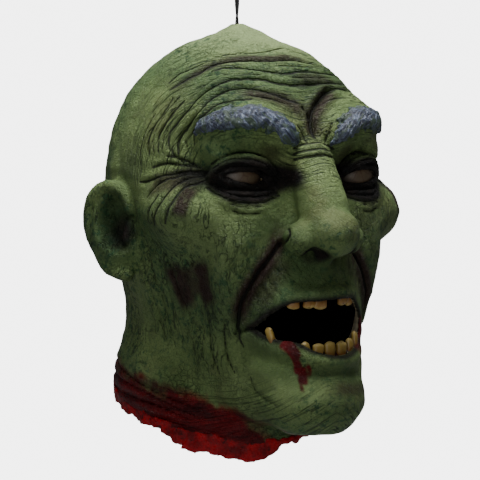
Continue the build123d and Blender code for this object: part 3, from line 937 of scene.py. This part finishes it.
class Paint:
    """Builds one material's nodes. Every call gives a socket for the next."""

    def __init__(self, name):
        self.material = bpy.data.materials.new(name)
        self.material.use_nodes = True
        self.tree = self.material.node_tree
        self.tree.nodes.clear()
        self.output = self.tree.nodes.new("ShaderNodeOutputMaterial")
        self.shader = self.tree.nodes.new("ShaderNodeBsdfPrincipled")
        self.tree.links.new(self.shader.outputs[0], self.output.inputs[0])
        self.place = self.tree.nodes.new("ShaderNodeTexCoord").outputs["Object"]

    def put(self, socket, value):
        """Links a socket, or sets its number or colour."""
        if isinstance(value, bpy.types.NodeSocket):
            self.tree.links.new(value, socket)
        else:
            socket.default_value = value

    def node(self, kind, values=(), **settings):
        """A node with its inputs given by position or name."""
        node = self.tree.nodes.new("ShaderNode" + kind)
        for name, setting in settings.items():
            setattr(node, name, setting)
        for index, value in values:
            self.put(node.inputs[index], value)
        return node

    def math(self, kind, a, b=0.0, c=0.0):
        """Arithmetic on numbers."""
        return self.node("Math", [(0, a), (1, b), (2, c)], operation=kind).outputs[0]

    def times(self, a, b):
        """The product of two numbers."""
        return self.math("MULTIPLY", a, b)

    def most(self, a, b):
        """The larger of two numbers."""
        return self.math("MAXIMUM", a, b)

    def layer(self, name):
        """A paint layer of the mesh."""
        return self.node("Attribute", attribute_name=name).outputs["Fac"]

    def stretch(self, scale, place=None):
        """Coordinates scaled along each axis."""
        values = [(0, self.place if place is None else place), (3, scale)]
        return self.node("Mapping", values, vector_type="POINT").outputs[0]

    def bend(self, amount, scale):
        """Coordinates pushed about by noise, so that patterns on them don't look ruled."""
        noise = self.node("TexNoise", [(0, self.place), (2, scale), (3, 3.0)]).outputs["Color"]
        shift = self.node("VectorMath", [(0, noise), (1, (0.5, 0.5, 0.5))], operation="SUBTRACT").outputs[0]
        shift = self.node("VectorMath", [(0, shift), (3, amount)], operation="SCALE").outputs[0]
        return self.node("VectorMath", [(0, self.place), (1, shift)], operation="ADD").outputs[0]

    def noise(self, scale, detail=4.0, rough=0.55, place=None):
        """Cloudy noise about 0.5."""
        place = self.place if place is None else place
        return self.node("TexNoise", [(0, place), (2, scale), (3, detail), (4, rough)]).outputs[0]

    def cracks(self, scale, width, place):
        """1 on the borders of random cells, 0 away from them."""
        cells = self.node("TexVoronoi", [(0, place), (2, scale)], feature="DISTANCE_TO_EDGE").outputs[0]
        return self.ramp(cells, 0.0, width, 1.0, 0.0)

    def threads(self, value, width):
        """1 on the thin lines where a noise passes through its middle value."""
        off = self.math("ABSOLUTE", self.math("SUBTRACT", value, 0.5))
        return self.ramp(off, 0.0, width, 1.0, 0.0)

    def ramp(self, value, low, high, start=0.0, end=1.0):
        """Maps low..high to start..end with a smooth rise."""
        values = [(0, value), (1, low), (2, high), (3, start), (4, end)]
        return self.node("MapRange", values, interpolation_type="SMOOTHSTEP").outputs[0]

    def mix(self, amount, under, over, kind="MIX"):
        """One colour over another."""
        values = [(0, amount), (6, under), (7, over)]
        return self.node("Mix", values, data_type="RGBA", blend_type=kind, clamp_factor=True).outputs[2]

    def bump(self, height, distance, strength):
        """A normal from a height in 0..1 that stands for distance in metres."""
        values = [("Strength", strength), ("Distance", distance), ("Height", height)]
        return self.node("Bump", values).outputs[0]

    def finish(self, **sockets):
        """Sets the shader's sockets; underscores in names stand for spaces."""
        for name, value in sockets.items():
            self.put(self.shader.inputs[name.replace("_", " ")], value)
        return self.material


def latex_tones(paint, wavy):
    """Skin from pale olive to mid green, with sponge marks where a slow noise allows them, painted shade and
    a painted highlight on the crown.
    """
    cloud = paint.ramp(paint.noise(22, 5, 0.6), 0.35, 0.65)
    skin = paint.mix(cloud, (0.128, 0.198, 0.062, 1), (0.216, 0.300, 0.106, 1))
    warm = paint.ramp(paint.noise(26, 4, 0.6, wavy), 0.52, 0.68)
    skin = paint.mix(paint.times(warm, 0.45), skin, (0.190, 0.185, 0.070, 1))
    wash = paint.ramp(paint.noise(13, 3, 0.5), 0.45, 0.62)
    skin = paint.mix(paint.times(wash, 0.5), skin, (0.050, 0.125, 0.042, 1))
    # Painted shade darkens the skin, and a painted highlight makes the crown paler
    skin = paint.mix(paint.times(paint.layer("painted_shade"), 0.9), skin, (0.024, 0.052, 0.016, 1))
    skin = paint.mix(paint.times(paint.layer("pale"), 0.55), skin, (0.44, 0.56, 0.25, 1))
    where = paint.ramp(paint.noise(17, 3, 0.5, paint.stretch((1, 1, 0.8), wavy)), 0.42, 0.60)
    dabs = paint.ramp(paint.noise(210, 6, 0.75), 0.50, 0.60)
    return paint.mix(paint.times(paint.times(where, dabs), 0.85), skin, (0.016, 0.070, 0.026, 1))


def latex_lines(paint, wavy, fine):
    """Fine lines: round the brows, round the neck, down the cheeks, and crazing in patches."""
    axes = paint.node("SeparateXYZ", [(0, wavy)]).outputs
    ring = paint.times(paint.layer("ring"), 0.46)
    round_brow = paint.node("CombineXYZ", [(0, ring), (1, paint.times(axes[0], 24)),
                                           (2, paint.times(axes[2], 24))]).outputs[0]
    across = paint.threads(paint.noise(1.0, 1.5, 0.5, round_brow), 0.034)
    across = paint.times(across, paint.layer("flow"))
    down = paint.threads(paint.noise(170, 3, 0.6, paint.stretch((1.0, 1.0, 0.24), wavy)), 0.032)
    grown = paint.ramp(paint.noise(40, 3, 0.6), 0.42, 0.55)
    down = paint.times(paint.times(down, paint.layer("fall")), grown)
    patch = paint.ramp(paint.noise(34, 3, 0.6), 0.52, 0.62)
    craze = paint.times(paint.cracks(230, 0.060, fine), paint.times(patch, 0.65))
    return paint.most(paint.most(across, down), craze)


def latex_blood(paint, wavy, dark):
    """Red for the neck and mouth, with dark in its lines, and how far it covers: its edge is ragged."""
    red = paint.layer("red")
    cloud = paint.ramp(paint.noise(30, 4, 0.55, paint.stretch((1, 1, 3.0), wavy)), 0.36, 0.68)
    blood = paint.mix(cloud, (0.050, 0.0004, 0.0012, 1), (0.175, 0.0008, 0.003, 1))
    speckle = paint.ramp(paint.noise(120, 5, 0.7), 0.35, 0.65, -0.12, 0.12)
    ragged = paint.ramp(paint.math("ADD", red, speckle), 0.05, 0.90)
    ragged = paint.times(ragged, paint.ramp(red, 0.0, 0.2))
    return paint.mix(paint.times(dark, 0.5), blood, (0.010, 0.0005, 0.0008, 1)), ragged


def latex_material():
    """Painted latex: olive skin sponged with dark green, crazed, with the painted layers on it, painted shade
    and a painted highlight among them.
    """
    paint = Paint("painted_latex")
    wavy = paint.bend(0.012, 60)
    fine = paint.bend(0.004, 220)
    eye = paint.layer("eye")
    thin = paint.ramp(paint.layer("seam"), 0.60, 0.80)
    crack = paint.most(paint.times(paint.layer("crack"), 0.6), paint.times(thin, 0.92))
    lines = latex_lines(paint, wavy, fine)
    pores = paint.cracks(430, 0.10, fine)
    skin = latex_tones(paint, wavy)
    skin = paint.mix(paint.times(lines, 0.85), skin, (0.016, 0.034, 0.012, 1))
    skin = paint.mix(paint.times(pores, 0.20), skin, (0.05, 0.09, 0.035, 1))

    # Brushed brown, streaked along the strokes, then black-brown at the eyes, then the folds' dark lines
    streak = paint.ramp(paint.noise(260, 4, 0.7, paint.stretch((1, 1, 0.22), fine)), 0.25, 0.50, 0.55, 1.0)
    skin = paint.mix(paint.times(paint.layer("brown"), streak), skin, (0.028, 0.012, 0.008, 1))
    tired = paint.ramp(paint.noise(120, 4, 0.6), 0.40, 0.70)
    skin = paint.mix(eye, skin, paint.mix(tired, (0.003, 0.0022, 0.0018, 1), (0.017, 0.011, 0.008, 1)))
    skin = paint.mix(paint.times(crack, 0.95), skin, (0.004, 0.005, 0.003, 1))

    blood, ragged = latex_blood(paint, wavy, paint.most(crack, paint.times(lines, 0.4)))
    skin = paint.mix(ragged, skin, blood)
    raw = paint.ramp(paint.noise(70, 5, 0.6), 0.3, 0.7)
    raw = paint.mix(raw, (0.52, 0.44, 0.27, 1), (0.64, 0.56, 0.38, 1))
    skin = paint.mix(paint.layer("inside"), skin, raw)

    relief = paint.times(paint.most(lines, thin), -0.9)
    for height, amount in ((pores, -0.22), (paint.noise(380, 5, 0.70), 0.8), (paint.noise(95, 4, 0.6), 0.5)):
        relief = paint.math("MULTIPLY_ADD", height, amount, relief)
    rough = paint.ramp(paint.noise(80, 4, 0.6), 0.3, 0.7, 0.46, 0.62)
    rough = paint.math("MULTIPLY_ADD", ragged, -0.12, rough)
    rough = paint.math("MULTIPLY_ADD", eye, 0.06, rough)
    return paint.finish(Base_Color=skin, Roughness=rough, Normal=paint.bump(relief, 0.0018, 1.0),
                        Specular_IOR_Level=0.28)


def rim_material():
    """Torn flesh: wet, bright red lumps with painted shade for dark hollows, laid by noise."""
    paint = Paint("torn_red_latex")
    tone = paint.mix(paint.ramp(paint.noise(120, 5, 0.65), 0.35, 0.65), (0.13, 0.0006, 0.0025, 1),
                     (0.36, 0.001, 0.005, 1))
    # Dark patches laid by noise: painted shade standing for hollows between the lumps
    hollow_shade = paint.ramp(paint.noise(170, 3, 0.5), 0.32, 0.42, 1.0, 0.0)
    tone = paint.mix(paint.times(hollow_shade, 0.8), tone, (0.020, 0.0005, 0.0008, 1))
    tone = paint.mix(paint.layer("low"), tone, (0.55, 0.003, 0.012, 1))
    normal = paint.bump(paint.noise(260, 5, 0.6), 0.0022, 0.9)
    rough = paint.ramp(paint.noise(90), 0.3, 0.7, 0.28, 0.50)
    return paint.finish(Base_Color=tone, Roughness=rough, Normal=normal, Specular_IOR_Level=0.20)


def brow_material():
    """Blue-grey enamel brushed on in short slanting strokes, worn through to green between them, with painted
    shade in their grooves and a painted highlight on their ridges.
    """
    paint = Paint("brow_paint")
    strokes = paint.node("Attribute", attribute_name="strokes").outputs["Vector"]
    hair = paint.noise(1.0, 4, 0.65, paint.stretch((620, 95, 620), strokes))
    broad = paint.noise(1.0, 3, 0.6, paint.stretch((240, 60, 240), strokes))
    # Painted shade in the grooves of the strokes, then a painted highlight on their ridges
    tone = paint.mix(paint.ramp(hair, 0.40, 0.62), (0.018, 0.024, 0.045, 1), (0.105, 0.135, 0.205, 1))
    tone = paint.mix(paint.ramp(hair, 0.58, 0.70), tone, (0.36, 0.43, 0.55, 1))
    worn = paint.times(paint.ramp(broad, 0.50, 0.58), 0.7)
    tone = paint.mix(worn, tone, (0.060, 0.100, 0.045, 1))
    tone = paint.mix(paint.layer("edge"), tone, (0.035, 0.070, 0.035, 1))
    normal = paint.bump(hair, 0.0020, 1.0)
    rough = paint.ramp(hair, 0.4, 0.7, 0.46, 0.30)
    return paint.finish(Base_Color=tone, Roughness=rough, Normal=normal, Specular_IOR_Level=0.6)


def tooth_material(name, body, root):
    """Stained enamel: orange-brown at the gum, paler at the biting edge, with fine growth lines and painted
    shade where it goes into the gum.
    """
    paint = Paint(name)
    rise = paint.layer("rise")
    stain = paint.math("MULTIPLY_ADD", paint.noise(160, 4, 0.6), 0.5, paint.math("SUBTRACT", rise, 0.25))
    tone = paint.mix(paint.ramp(stain, 0.10, 0.75), root, body)
    tone = paint.mix(paint.ramp(stain, 0.70, 1.0), tone, (0.50, 0.38, 0.13, 1))
    lines = paint.noise(420, 3, 0.6, paint.stretch((1, 1, 0.15)))
    tone = paint.mix(paint.ramp(lines, 0.60, 0.72), tone, root)
    # Near-black at the gum end: painted shade where the tooth goes into the gum
    tone = paint.mix(paint.ramp(rise, 0.0, 0.22, 1.0, 0.0), tone, (0.020, 0.008, 0.004, 1))
    normal = paint.bump(lines, 0.0006, 0.6)
    return paint.finish(Base_Color=tone, Roughness=0.34, Normal=normal, Specular_IOR_Level=0.55)


def gum_material():
    """Dark wet gum, with nearly black patches laid by noise as painted shade for its hollows."""
    paint = Paint("dark_gum")
    # Nearly black patches laid by noise: painted shade standing for the gum's hollows
    tone = paint.mix(paint.ramp(paint.noise(150, 4, 0.6), 0.35, 0.7), (0.010, 0.003, 0.003, 1),
                     (0.050, 0.010, 0.008, 1))
    normal = paint.bump(paint.noise(300, 4, 0.6), 0.0010, 0.8)
    return paint.finish(Base_Color=tone, Roughness=0.38, Normal=normal)


def eye_material():
    """A dull tan ball with fine brown veins and painted shade round its rim, where the lids overhang it."""
    paint = Paint("dull_eye")
    veins = paint.cracks(170, 0.06, paint.bend(0.006, 140))
    tone = paint.mix(paint.ramp(paint.noise(90, 4, 0.6), 0.3, 0.7), (0.090, 0.062, 0.036, 1),
                     (0.142, 0.102, 0.060, 1))
    tone = paint.mix(paint.times(veins, 0.5), tone, (0.06, 0.020, 0.012, 1))
    # Near-black round the ball's edge: painted shade where the lids overhang it
    tone = paint.mix(paint.layer("rim"), tone, (0.010, 0.008, 0.007, 1))
    normal = paint.bump(paint.noise(400, 3, 0.5), 0.0004, 0.5)
    return paint.finish(Base_Color=tone, Roughness=0.42, Normal=normal, Specular_IOR_Level=0.5)


def cloth_material():
    """Matt black scrim: a plain open weave."""
    paint = Paint("black_scrim")
    waves = [paint.node("TexWave", [(0, paint.place), (1, 900.0), (2, 0.6)], bands_direction=axis,
                        wave_profile="SIN").outputs[1] for axis in ("X", "Z")]
    weave = paint.times(waves[0], waves[1])
    tone = paint.mix(weave, (0.0015, 0.0015, 0.0018, 1), (0.0060, 0.0060, 0.0070, 1))
    normal = paint.bump(weave, 0.0003, 0.8)
    return paint.finish(Base_Color=tone, Roughness=0.95, Normal=normal, Specular_IOR_Level=0.1)


def cord_material():
    """Black waxed cord with a slanting braid."""
    paint = Paint("black_cord")
    slant = paint.stretch((1, 1, 0.55))
    braid = paint.cracks(1500, 0.12, slant)
    tone = paint.mix(braid, (0.018, 0.017, 0.019, 1), (0.004, 0.004, 0.005, 1))
    tone = paint.mix(paint.ramp(paint.noise(500), 0.5, 0.7), tone, (0.030, 0.029, 0.032, 1))
    normal = paint.bump(paint.times(braid, -1.0), 0.0003, 0.8)
    return paint.finish(Base_Color=tone, Roughness=0.6, Normal=normal)


def steel_material():
    """Zinc plate: drawn along the wire, with dull spots and faint wear."""
    paint = Paint("zinc_steel")
    drawn = paint.noise(900, 3, 0.6, paint.stretch((1, 1, 0.08)))
    spangle = paint.noise(220, 3, 0.5)
    tone = paint.mix(paint.ramp(spangle, 0.35, 0.65), (0.50, 0.51, 0.53, 1), (0.66, 0.67, 0.68, 1))
    tone = paint.mix(paint.ramp(paint.noise(60, 5, 0.7), 0.62, 0.75), tone, (0.30, 0.29, 0.28, 1))
    rough = paint.ramp(drawn, 0.3, 0.7, 0.26, 0.44)
    return paint.finish(Base_Color=tone, Roughness=rough, Normal=paint.bump(drawn, 0.0002, 0.5), Metallic=1.0)


def raw_latex_material():
    """Unpainted cast latex: cream, with brush ridges and small bubbles."""
    paint = Paint("raw_latex")
    cloud = paint.noise(110, 5, 0.6)
    tone = paint.mix(paint.ramp(cloud, 0.3, 0.7), (0.52, 0.43, 0.26, 1), (0.66, 0.58, 0.39, 1))
    bubbles = paint.node("TexVoronoi", [(0, paint.place), (2, 500.0)]).outputs[0]
    tone = paint.mix(paint.ramp(bubbles, 0.05, 0.16, 0.6, 0.0), tone, (0.40, 0.32, 0.18, 1))
    normal = paint.bump(paint.math("ADD", cloud, paint.ramp(bubbles, 0.05, 0.2)), 0.0006, 0.8)
    return paint.finish(Base_Color=tone, Roughness=0.7, Normal=normal)


# ---------------------------------------------------------------- the other pieces


def assign(piece, body, slot, *nodes):
    """Makes a piece ride on a body and stand for its CAD nodes; its slot is not used."""
    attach(piece, body)
    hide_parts(*nodes)


def piece_of_clay(name, clay, material):
    """An object from a block of clay, and its vertices in head coordinates."""
    vertices, faces = skinned(clay)
    piece = add_object(name, to_row(vertices), faces)
    piece.data.materials.append(material)
    return piece, vertices


def block_about(path, margin, step):
    """An empty block of clay round a path, its grid points, and the head's field at each."""
    clay = Clay(path.min(axis=0) - margin, path.max(axis=0) + margin, step)
    points = np.stack(np.meshgrid(*clay.axes, indexing="ij"), axis=-1)
    return clay, points, form.sample(points.reshape(-1, 3)).reshape(points.shape[:-1])


# How far the torn edge hangs below the skin's cut: (degrees round the head, mm)
TEAR = [(-180, 7), (-150, 9), (-119, 6), (-98, 4), (-80, 5), (-66, 8), (-56, 12), (-45, 10), (-36, 13),
        (-24, 11), (-12, 12), (-6, 7), (0, 2), (12, 1), (25, 2), (45, 5), (70, 8), (95, 10), (120, 6),
        (150, 9), (180, 7)]


def make_rim():
    """The torn red edge of the neck: a lumpy strip over the skin's cut end."""
    ring = np.array([(-84, -76, -282), (84, 100, -218)], float)
    clay, points, depth = block_about(ring, 2, 1.3)
    x, y, z = np.moveaxis(points, -1, 0)
    below = below_cut(x, y, z)
    tear = np.interp(np.degrees(np.arctan2(x, -y)), *np.array(TEAR, float).T)
    rag = 1.6 * ripple(points, 13, 21) + 1.3 * ripple(points, 5.5, 22)
    lumps = 0.9 * ripple(points, 8, 23) + 0.5 * ripple(points, 4.5, 24)

    # A wall that thickens downwards over the skin's, between a ragged top and a torn bottom
    low = np.clip(below / 10, 0, 1)
    outer = depth + WALL / 2 - (1.9 + 1.1 * low + lumps * (0.4 + 0.6 * low))
    inner = -(depth + WALL / 2) - 3.2 - lumps
    band = -soft_min(-outer, -inner, 1.5)
    ends = np.maximum(-below - 3.5 - 0.7 * rag, below - tear - rag)
    clay.field = -soft_min(-band, -ends, 1.2)
    piece, vertices = piece_of_clay("torn_neck_edge", clay, rim_material())
    add_layer(piece, "low", np.clip((below_cut(*vertices.T) - 6) / 6, 0, 1) * 0.6)
    assign(piece, "head", "red_latex", "neck_rim")


# A brow's middle line from its outer end, as degrees and drops on the mask's left, and its half width
BROW_LINE = [(45, 71, 2.5), (41, 67, 4.5), (35, 63.5, 6.5), (28, 61.5, 7.6), (21, 61.5, 8.0), (15, 65, 7.2),
             (10.5, 71.5, 5.5), (8.5, 76, 3.0)]
BROW_HEIGHT = 2.8
STROKE_SLANT = math.radians(48)


def make_brow(side, name, node):
    """A raised brow with a frayed edge, brushed with slanting strokes."""
    fine = curve_through(BROW_LINE, 1.0)
    fine = fine[:: max(len(fine) // 24, 1)]
    path = form.reach(side * fine[:, 0], fine[:, 1])
    clay, points, depth = block_about(path, 12, 1.0)
    _, _, distance = tube(path, fine[:, 2])
    fray = 1.2 * ripple(points, 7, 31 + side) + 1.2 * ripple(points, 3.0, 35)
    footprint = distance(*np.moveaxis(points, -1, 0)) + fray
    height = depth - BROW_HEIGHT - 0.35 * ripple(points, 5, 37)
    clay.field = np.maximum(-soft_min(-footprint, -height, 3.5), -(depth + 1.2))
    piece, vertices = piece_of_clay(name, clay, brow_material())

    # The strokes' own coordinates, across them, along them and into the head, in metres
    aside, up = side * vertices[:, 0], vertices[:, 2]
    across = aside * math.sin(STROKE_SLANT) - up * math.cos(STROKE_SLANT)
    along = aside * math.cos(STROKE_SLANT) + up * math.sin(STROKE_SLANT)
    strokes = piece.data.attributes.new("strokes", "FLOAT_VECTOR", "POINT")
    values = np.stack([across, along, vertices[:, 1]], axis=1) * MM
    strokes.data.foreach_set("vector", values.astype(np.float32).ravel())
    gap = np.array([np.linalg.norm(path - v, axis=1).min() for v in vertices])
    add_layer(piece, "edge", np.clip((gap - 5.5) / 3.5, 0, 1) * 0.8)
    assign(piece, "head", "brow_paint", node)


# The teeth stand on an arch: its back end, its half width, and where each row's front is
ARCH_Y = -86.0
ARCH_HALF = 34.0
UPPER_FRONT = -110.5
LOWER_FRONT = -113.5

# Teeth: middle x, width, drop of the gum end, drop of the biting edge, lean in degrees
UPPER_TEETH = [
    (-19.0, 7.6, 169.0, 177.6, 4), (-10.8, 7.4, 168.5, 177.2, -4), (-2.9, 8.4, 168.0, 178.0, 3),
    (12.8, 7.4, 167.5, 176.3, -4), (19.6, 6.0, 169.0, 177.0, 6),
]
LOWER_TEETH = [
    (-28.8, 4.8, 200.5, 187.5, 20), (-13.2, 5.6, 207.5, 196.6, 6), (-6.4, 7.2, 208.0, 197.8, -3),
    (1.9, 7.6, 208.5, 196.9, 2), (10.2, 7.8, 208.0, 197.5, -3), (17.2, 5.6, 206.5, 196.2, -6),
    (22.6, 4.8, 204.5, 192.4, -10),
]


def arch_place(x, front):
    """Where a row of teeth stands at x, and the turn about Z that faces a tooth outwards there."""
    bow = math.sqrt(1 - (x / ARCH_HALF) ** 2)
    depth = ARCH_Y - front
    return ARCH_Y - depth * bow, math.atan2(x / ARCH_HALF**2, bow / depth)


def turned(points, angle, first, second):
    """Points turned by an angle in the plane of two of their columns."""
    a, b = points[:, first], points[:, second]
    points = points.copy()
    points[:, first] = a * math.cos(angle) - b * math.sin(angle)
    points[:, second] = a * math.sin(angle) + b * math.cos(angle)
    return points


def make_tooth(name, node, tooth, front, material, seed):
    """One worn tooth: a rounded block that widens from its neck, with a chipped biting edge."""
    x, width, root, edge, lean = tooth
    rounds, levels = 20, 12
    rounding, thickness = 0.20, 2.7
    length = abs(edge - root)
    vertices = []
    for share in np.linspace(0, 1, levels):
        close = math.sqrt(max(1 - max((share - 1 + rounding) / rounding, 0) ** 2, 0.0))
        close = max(close, 0.05)
        half = width / 2 * (0.74 + 0.30 * math.sin(min(share * 1.9, math.pi / 2))) * close**0.6
        thick = thickness * (1 - 0.35 * share) * close
        bow = 0.9 * math.sin(share * 2.6)
        for angle in np.linspace(0, 2 * math.pi, rounds, endpoint=False):
            c, s = math.cos(angle), math.sin(angle)
            vertices.append((half * math.copysign(abs(c) ** 0.75, c),
                             thick * math.copysign(abs(s) ** 0.85, s) - bow, share * length))
    vertices = np.array(vertices)
    rng = np.random.default_rng(seed)
    wear = [ripple(vertices + 50 * rng.uniform(-1, 1, 3), 4, seed + k) for k in range(3)]
    vertices += 0.16 * np.stack(wear, axis=1)
    rise = np.clip(vertices[:, 2] / length, 0, 1)
    faces = grid_faces(levels, rounds) + disc_faces((levels - 1) * rounds, rounds)
    faces += [face[::-1] for face in disc_faces(0, rounds)]

    vertices = turned(vertices, math.radians(lean), 0, 2)
    vertices[:, 2] *= -1 if edge > root else 1
    y, facing = arch_place(x, front)
    vertices = turned(vertices, facing, 0, 1) + (x, y, -root)
    piece = add_object(name, to_row(vertices), faces)
    add_layer(piece, "rise", rise)
    smooth = piece.modifiers.new("smooth", "SUBSURF")
    smooth.levels = smooth.render_levels = 1
    piece.data.materials.append(material)
    assign(piece, "head", "tooth_enamel", node)


def make_gum(name, node, front, root, bend, teeth, material):
    """A gum along the arch that swells round the neck of every tooth."""
    path = []
    for x in np.linspace(-30, 30, 13):
        y, _ = arch_place(x, front)
        path.append((x, y + 1.5, -(root + bend * (x / 30) ** 2)))
    path = np.array(path)
    clay = Clay(path.min(axis=0) - 9, path.max(axis=0) + 9, 1.1)
    clay.add(tube(path, 3.6, (1, 0.95, 1.25)), 2)
    for x, width, base, edge, _ in teeth:
        y, _ = arch_place(x, front)
        clay.add(ball((x, y + 0.3, -(base + 0.12 * (edge - base))), (width / 2 + 0.8, 3.1, 3.2)), 1.5)
    piece, _ = piece_of_clay(name, clay, material)
    assign(piece, "head", "gum_latex", node)


def make_eye(side, name, node, material):
    """The front of an eyeball with a low cornea, set behind the lids."""
    rounds, rings = 40, 18
    spread = 0.56 * math.pi
    vertices = []
    for ring in range(rings + 1):
        tilt = spread * (ring + 0.3) / (rings + 0.3)
        radius = EYE_R * (1 + 0.035 * math.exp(-((tilt / 0.45) ** 2)))
        for angle in np.linspace(0, 2 * math.pi, rounds, endpoint=False):
            vertices.append((radius * math.sin(tilt) * math.cos(angle), -radius * math.cos(tilt),
                             radius * math.sin(tilt) * math.sin(angle)))
    vertices = np.array(vertices)
    faces = grid_faces(rings + 1, rounds) + disc_faces(rings * rounds, rounds)
    faces = [face[::-1] for face in faces] + disc_faces(0, rounds)
    x, y, z = EYE_CENTRE
    piece = add_object(name, to_row(vertices + (side * x, y, z)), faces)
    # The rim layer darkens the ball round the slit's edge: painted shade under the lids
    rim = np.hypot(vertices[:, 0] / 11.0, vertices[:, 2] / 5.2)
    add_layer(piece, "rim", np.clip((rim - 0.70) / 0.45, 0, 1))
    piece.data.materials.append(material)
    assign(piece, "head", "eye_enamel", node)


def make_pouch():
    """The black cloth glued round the inside of the mouth, sagging back in loose folds."""
    rounds, rings = 56, 16
    turn = np.linspace(0, 2 * math.pi, rounds, endpoint=False)
    brim = form.reach(33 * np.cos(turn), 189 - 27 * np.sin(turn))
    brim -= form.slope(brim) * (WALL + 1.0)
    middle = np.array([0, -90.0, -189.0])
    vertices = []
    for ring in range(rings + 1):
        swing = math.pi / 2 * ring / rings
        pull = math.cos(swing) ** 0.8 if ring < rings else 0.02
        layer = middle + (brim - middle) * pull + np.array([0, 30, -3]) * math.sin(swing)
        folds = 1.3 * math.sin(2 * swing) * np.sin(turn * 9 + 1.5 * math.sin(swing * 3))
        layer = layer + np.stack([folds * np.cos(turn), 0.6 * folds, folds * np.sin(turn)], axis=1)
        vertices.append(layer)
    vertices = np.concatenate(vertices)
    faces = grid_faces(rings + 1, rounds) + disc_faces(rings * rounds, rounds)
    piece = add_object("mouth_pouch_cloth", to_row(vertices), faces)
    piece.data.materials.append(cloth_material())
    assign(piece, "head", "black_scrim", "mouth_pouch")


# Room in the crown's hole between the ends of the cord and of its stub, so that the head can tilt
STUB_GAP = 0.0008

# The cord, in row millimetres: up one strand with half a turn about the other, over the hook, and down
STRAND = 0.0016
CORD_POINTS = [
    (0.85, 0.0, -79.7), (0.68, 0.55, -75.0), (0.15, 0.86, -70.0), (-0.40, 0.76, -65.0), (-0.74, 0.42, -60.0),
    (-0.85, -0.15, -55.0), (-0.62, -0.62, -51.0), (-0.25, -1.0, -47.5), (-0.05, -1.75, -43.5),
    (0.0, -2.75, -39.5), (0.0, -3.3, -36.0), (0.0, -1.9, -34.0), (0.0, 1.9, -34.0), (0.0, 3.3, -36.0),
    (0.0, 2.75, -39.5), (0.05, 1.75, -43.5), (0.25, 1.0, -47.5), (0.62, 0.62, -51.0), (0.85, 0.15, -55.0),
    (0.74, -0.42, -60.0), (0.40, -0.76, -65.0), (-0.15, -0.86, -70.0), (-0.68, -0.55, -75.0),
    (-0.85, 0.0, -79.7),
]


def add_cord_piece(name, strands, resolution, roundness):
    """A piece of black cord along smooth lines, each its points in metres and whether it is closed."""
    data = bpy.data.curves.new(name, "CURVE")
    data.dimensions = "3D"
    for places, closed in strands:
        line = data.splines.new("NURBS")
        line.points.add(len(places) - 1)
        for point, place in zip(line.points, places):
            point.co = (*[float(value) for value in place], 1)
        line.order_u = 3
        line.use_cyclic_u = closed
        line.use_endpoint_u = not closed
        line.resolution_u = resolution
    data.bevel_depth = STRAND / 2
    data.bevel_resolution = roundness
    data.use_fill_caps = True
    piece = bpy.data.objects.new(name, data)
    bpy.context.scene.collection.objects.link(piece)
    data.materials.append(black_cord)
    return piece


def make_cord():
    """The doubled black cord as one line: both strands end in the crown and it hangs over the hook."""
    route = [[value * MM for value in place] for place in CORD_POINTS]
    piece = add_cord_piece("hanging_cord", [(route, False)], 8, 4)
    assign(piece, "cord", "black_cord", "cord_loop", "cord_twist")


def make_knot():
    """The stopper knot under the washer, an overhand knot in the doubled cord, and its way up the hole."""
    low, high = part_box("knot")
    middle = (np.array(low) + np.array(high)) / 2
    reach = (high[2] - low[2]) / 2 - 0.001
    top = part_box("cord_stub")[1][2] - STUB_GAP
    turns = np.linspace(0, 2 * math.pi, 120, endpoint=False)
    loop = np.stack([np.sin(turns) + 2 * np.sin(2 * turns), np.cos(turns) - 2 * np.cos(2 * turns),
                     -1.5 * np.sin(3 * turns)], axis=1) * reach / 3.0 + middle
    rise = [(STRAND / 2 * math.cos(a), STRAND / 2 * math.sin(a), z)
            for a, z in zip(np.linspace(0, 4, 12), np.linspace(middle[2], top, 12))]
    other = [(-x, -y, z) for x, y, z in rise]
    piece = add_cord_piece("stopper_knot", [(loop, True), (rise, False), (other, False)], 3, 3)
    assign(piece, "knot", "black_cord", "cord_stub", "knot")


def make_head():
    """The skin, with its paint layers as mesh attributes."""
    piece = add_object("latex_skin", to_row(skin.vertices), skin.faces)
    for name, values in skin.paint.items():
        add_layer(piece, name, values)
    piece.data.materials.append(latex_material())
    assign(piece, "head", "green_latex", "head_skin")


make_camera()
black_cord = cord_material()
make_cord()
make_knot()
make_light("key", (-0.10, -0.34, 1.15), 0.5, 20)
make_light("top", (0.10, 0.15, 1.25), 0.9, 18)
make_light("fill", (-1.2, -1.5, 0.1), 1.2, 9.0)
make_stage()
make_world()

make_head()
make_rim()
make_brow(1, "left_brow_strip", "left_brow")
make_brow(-1, "right_brow_strip", "right_brow")
gum_paint = gum_material()
for row, teeth, front, enamel, seed, gum_drop, gum_bend in (
    ("upper", UPPER_TEETH, UPPER_FRONT, ((0.300, 0.155, 0.030, 1), (0.150, 0.050, 0.010, 1)), 0, 166.5, 8),
    ("lower", LOWER_TEETH, LOWER_FRONT, ((0.265, 0.180, 0.035, 1), (0.150, 0.055, 0.010, 1)), 20, 210.0, -9),
):
    material = tooth_material(f"{row}_teeth", *enamel)
    for number, tooth in enumerate(teeth, 1):
        node = f"{row}_tooth_{number}"
        make_tooth(f"{node}_enamel", node, tooth, front, material, seed + number)
    make_gum(f"{row}_gum_ridge", f"{row}_gum", front, gum_drop, gum_bend, teeth, gum_paint)
tan_enamel = eye_material()
make_eye(1, "left_eyeball", "left_eye", tan_enamel)
make_eye(-1, "right_eyeball", "right_eye", tan_enamel)
make_pouch()
zinc = steel_material()
for node, material in (("s_hook", zinc), ("washer", zinc), ("crown_boss", raw_latex_material())):
    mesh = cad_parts[node].data
    mesh.materials.clear()
    mesh.materials.append(material)
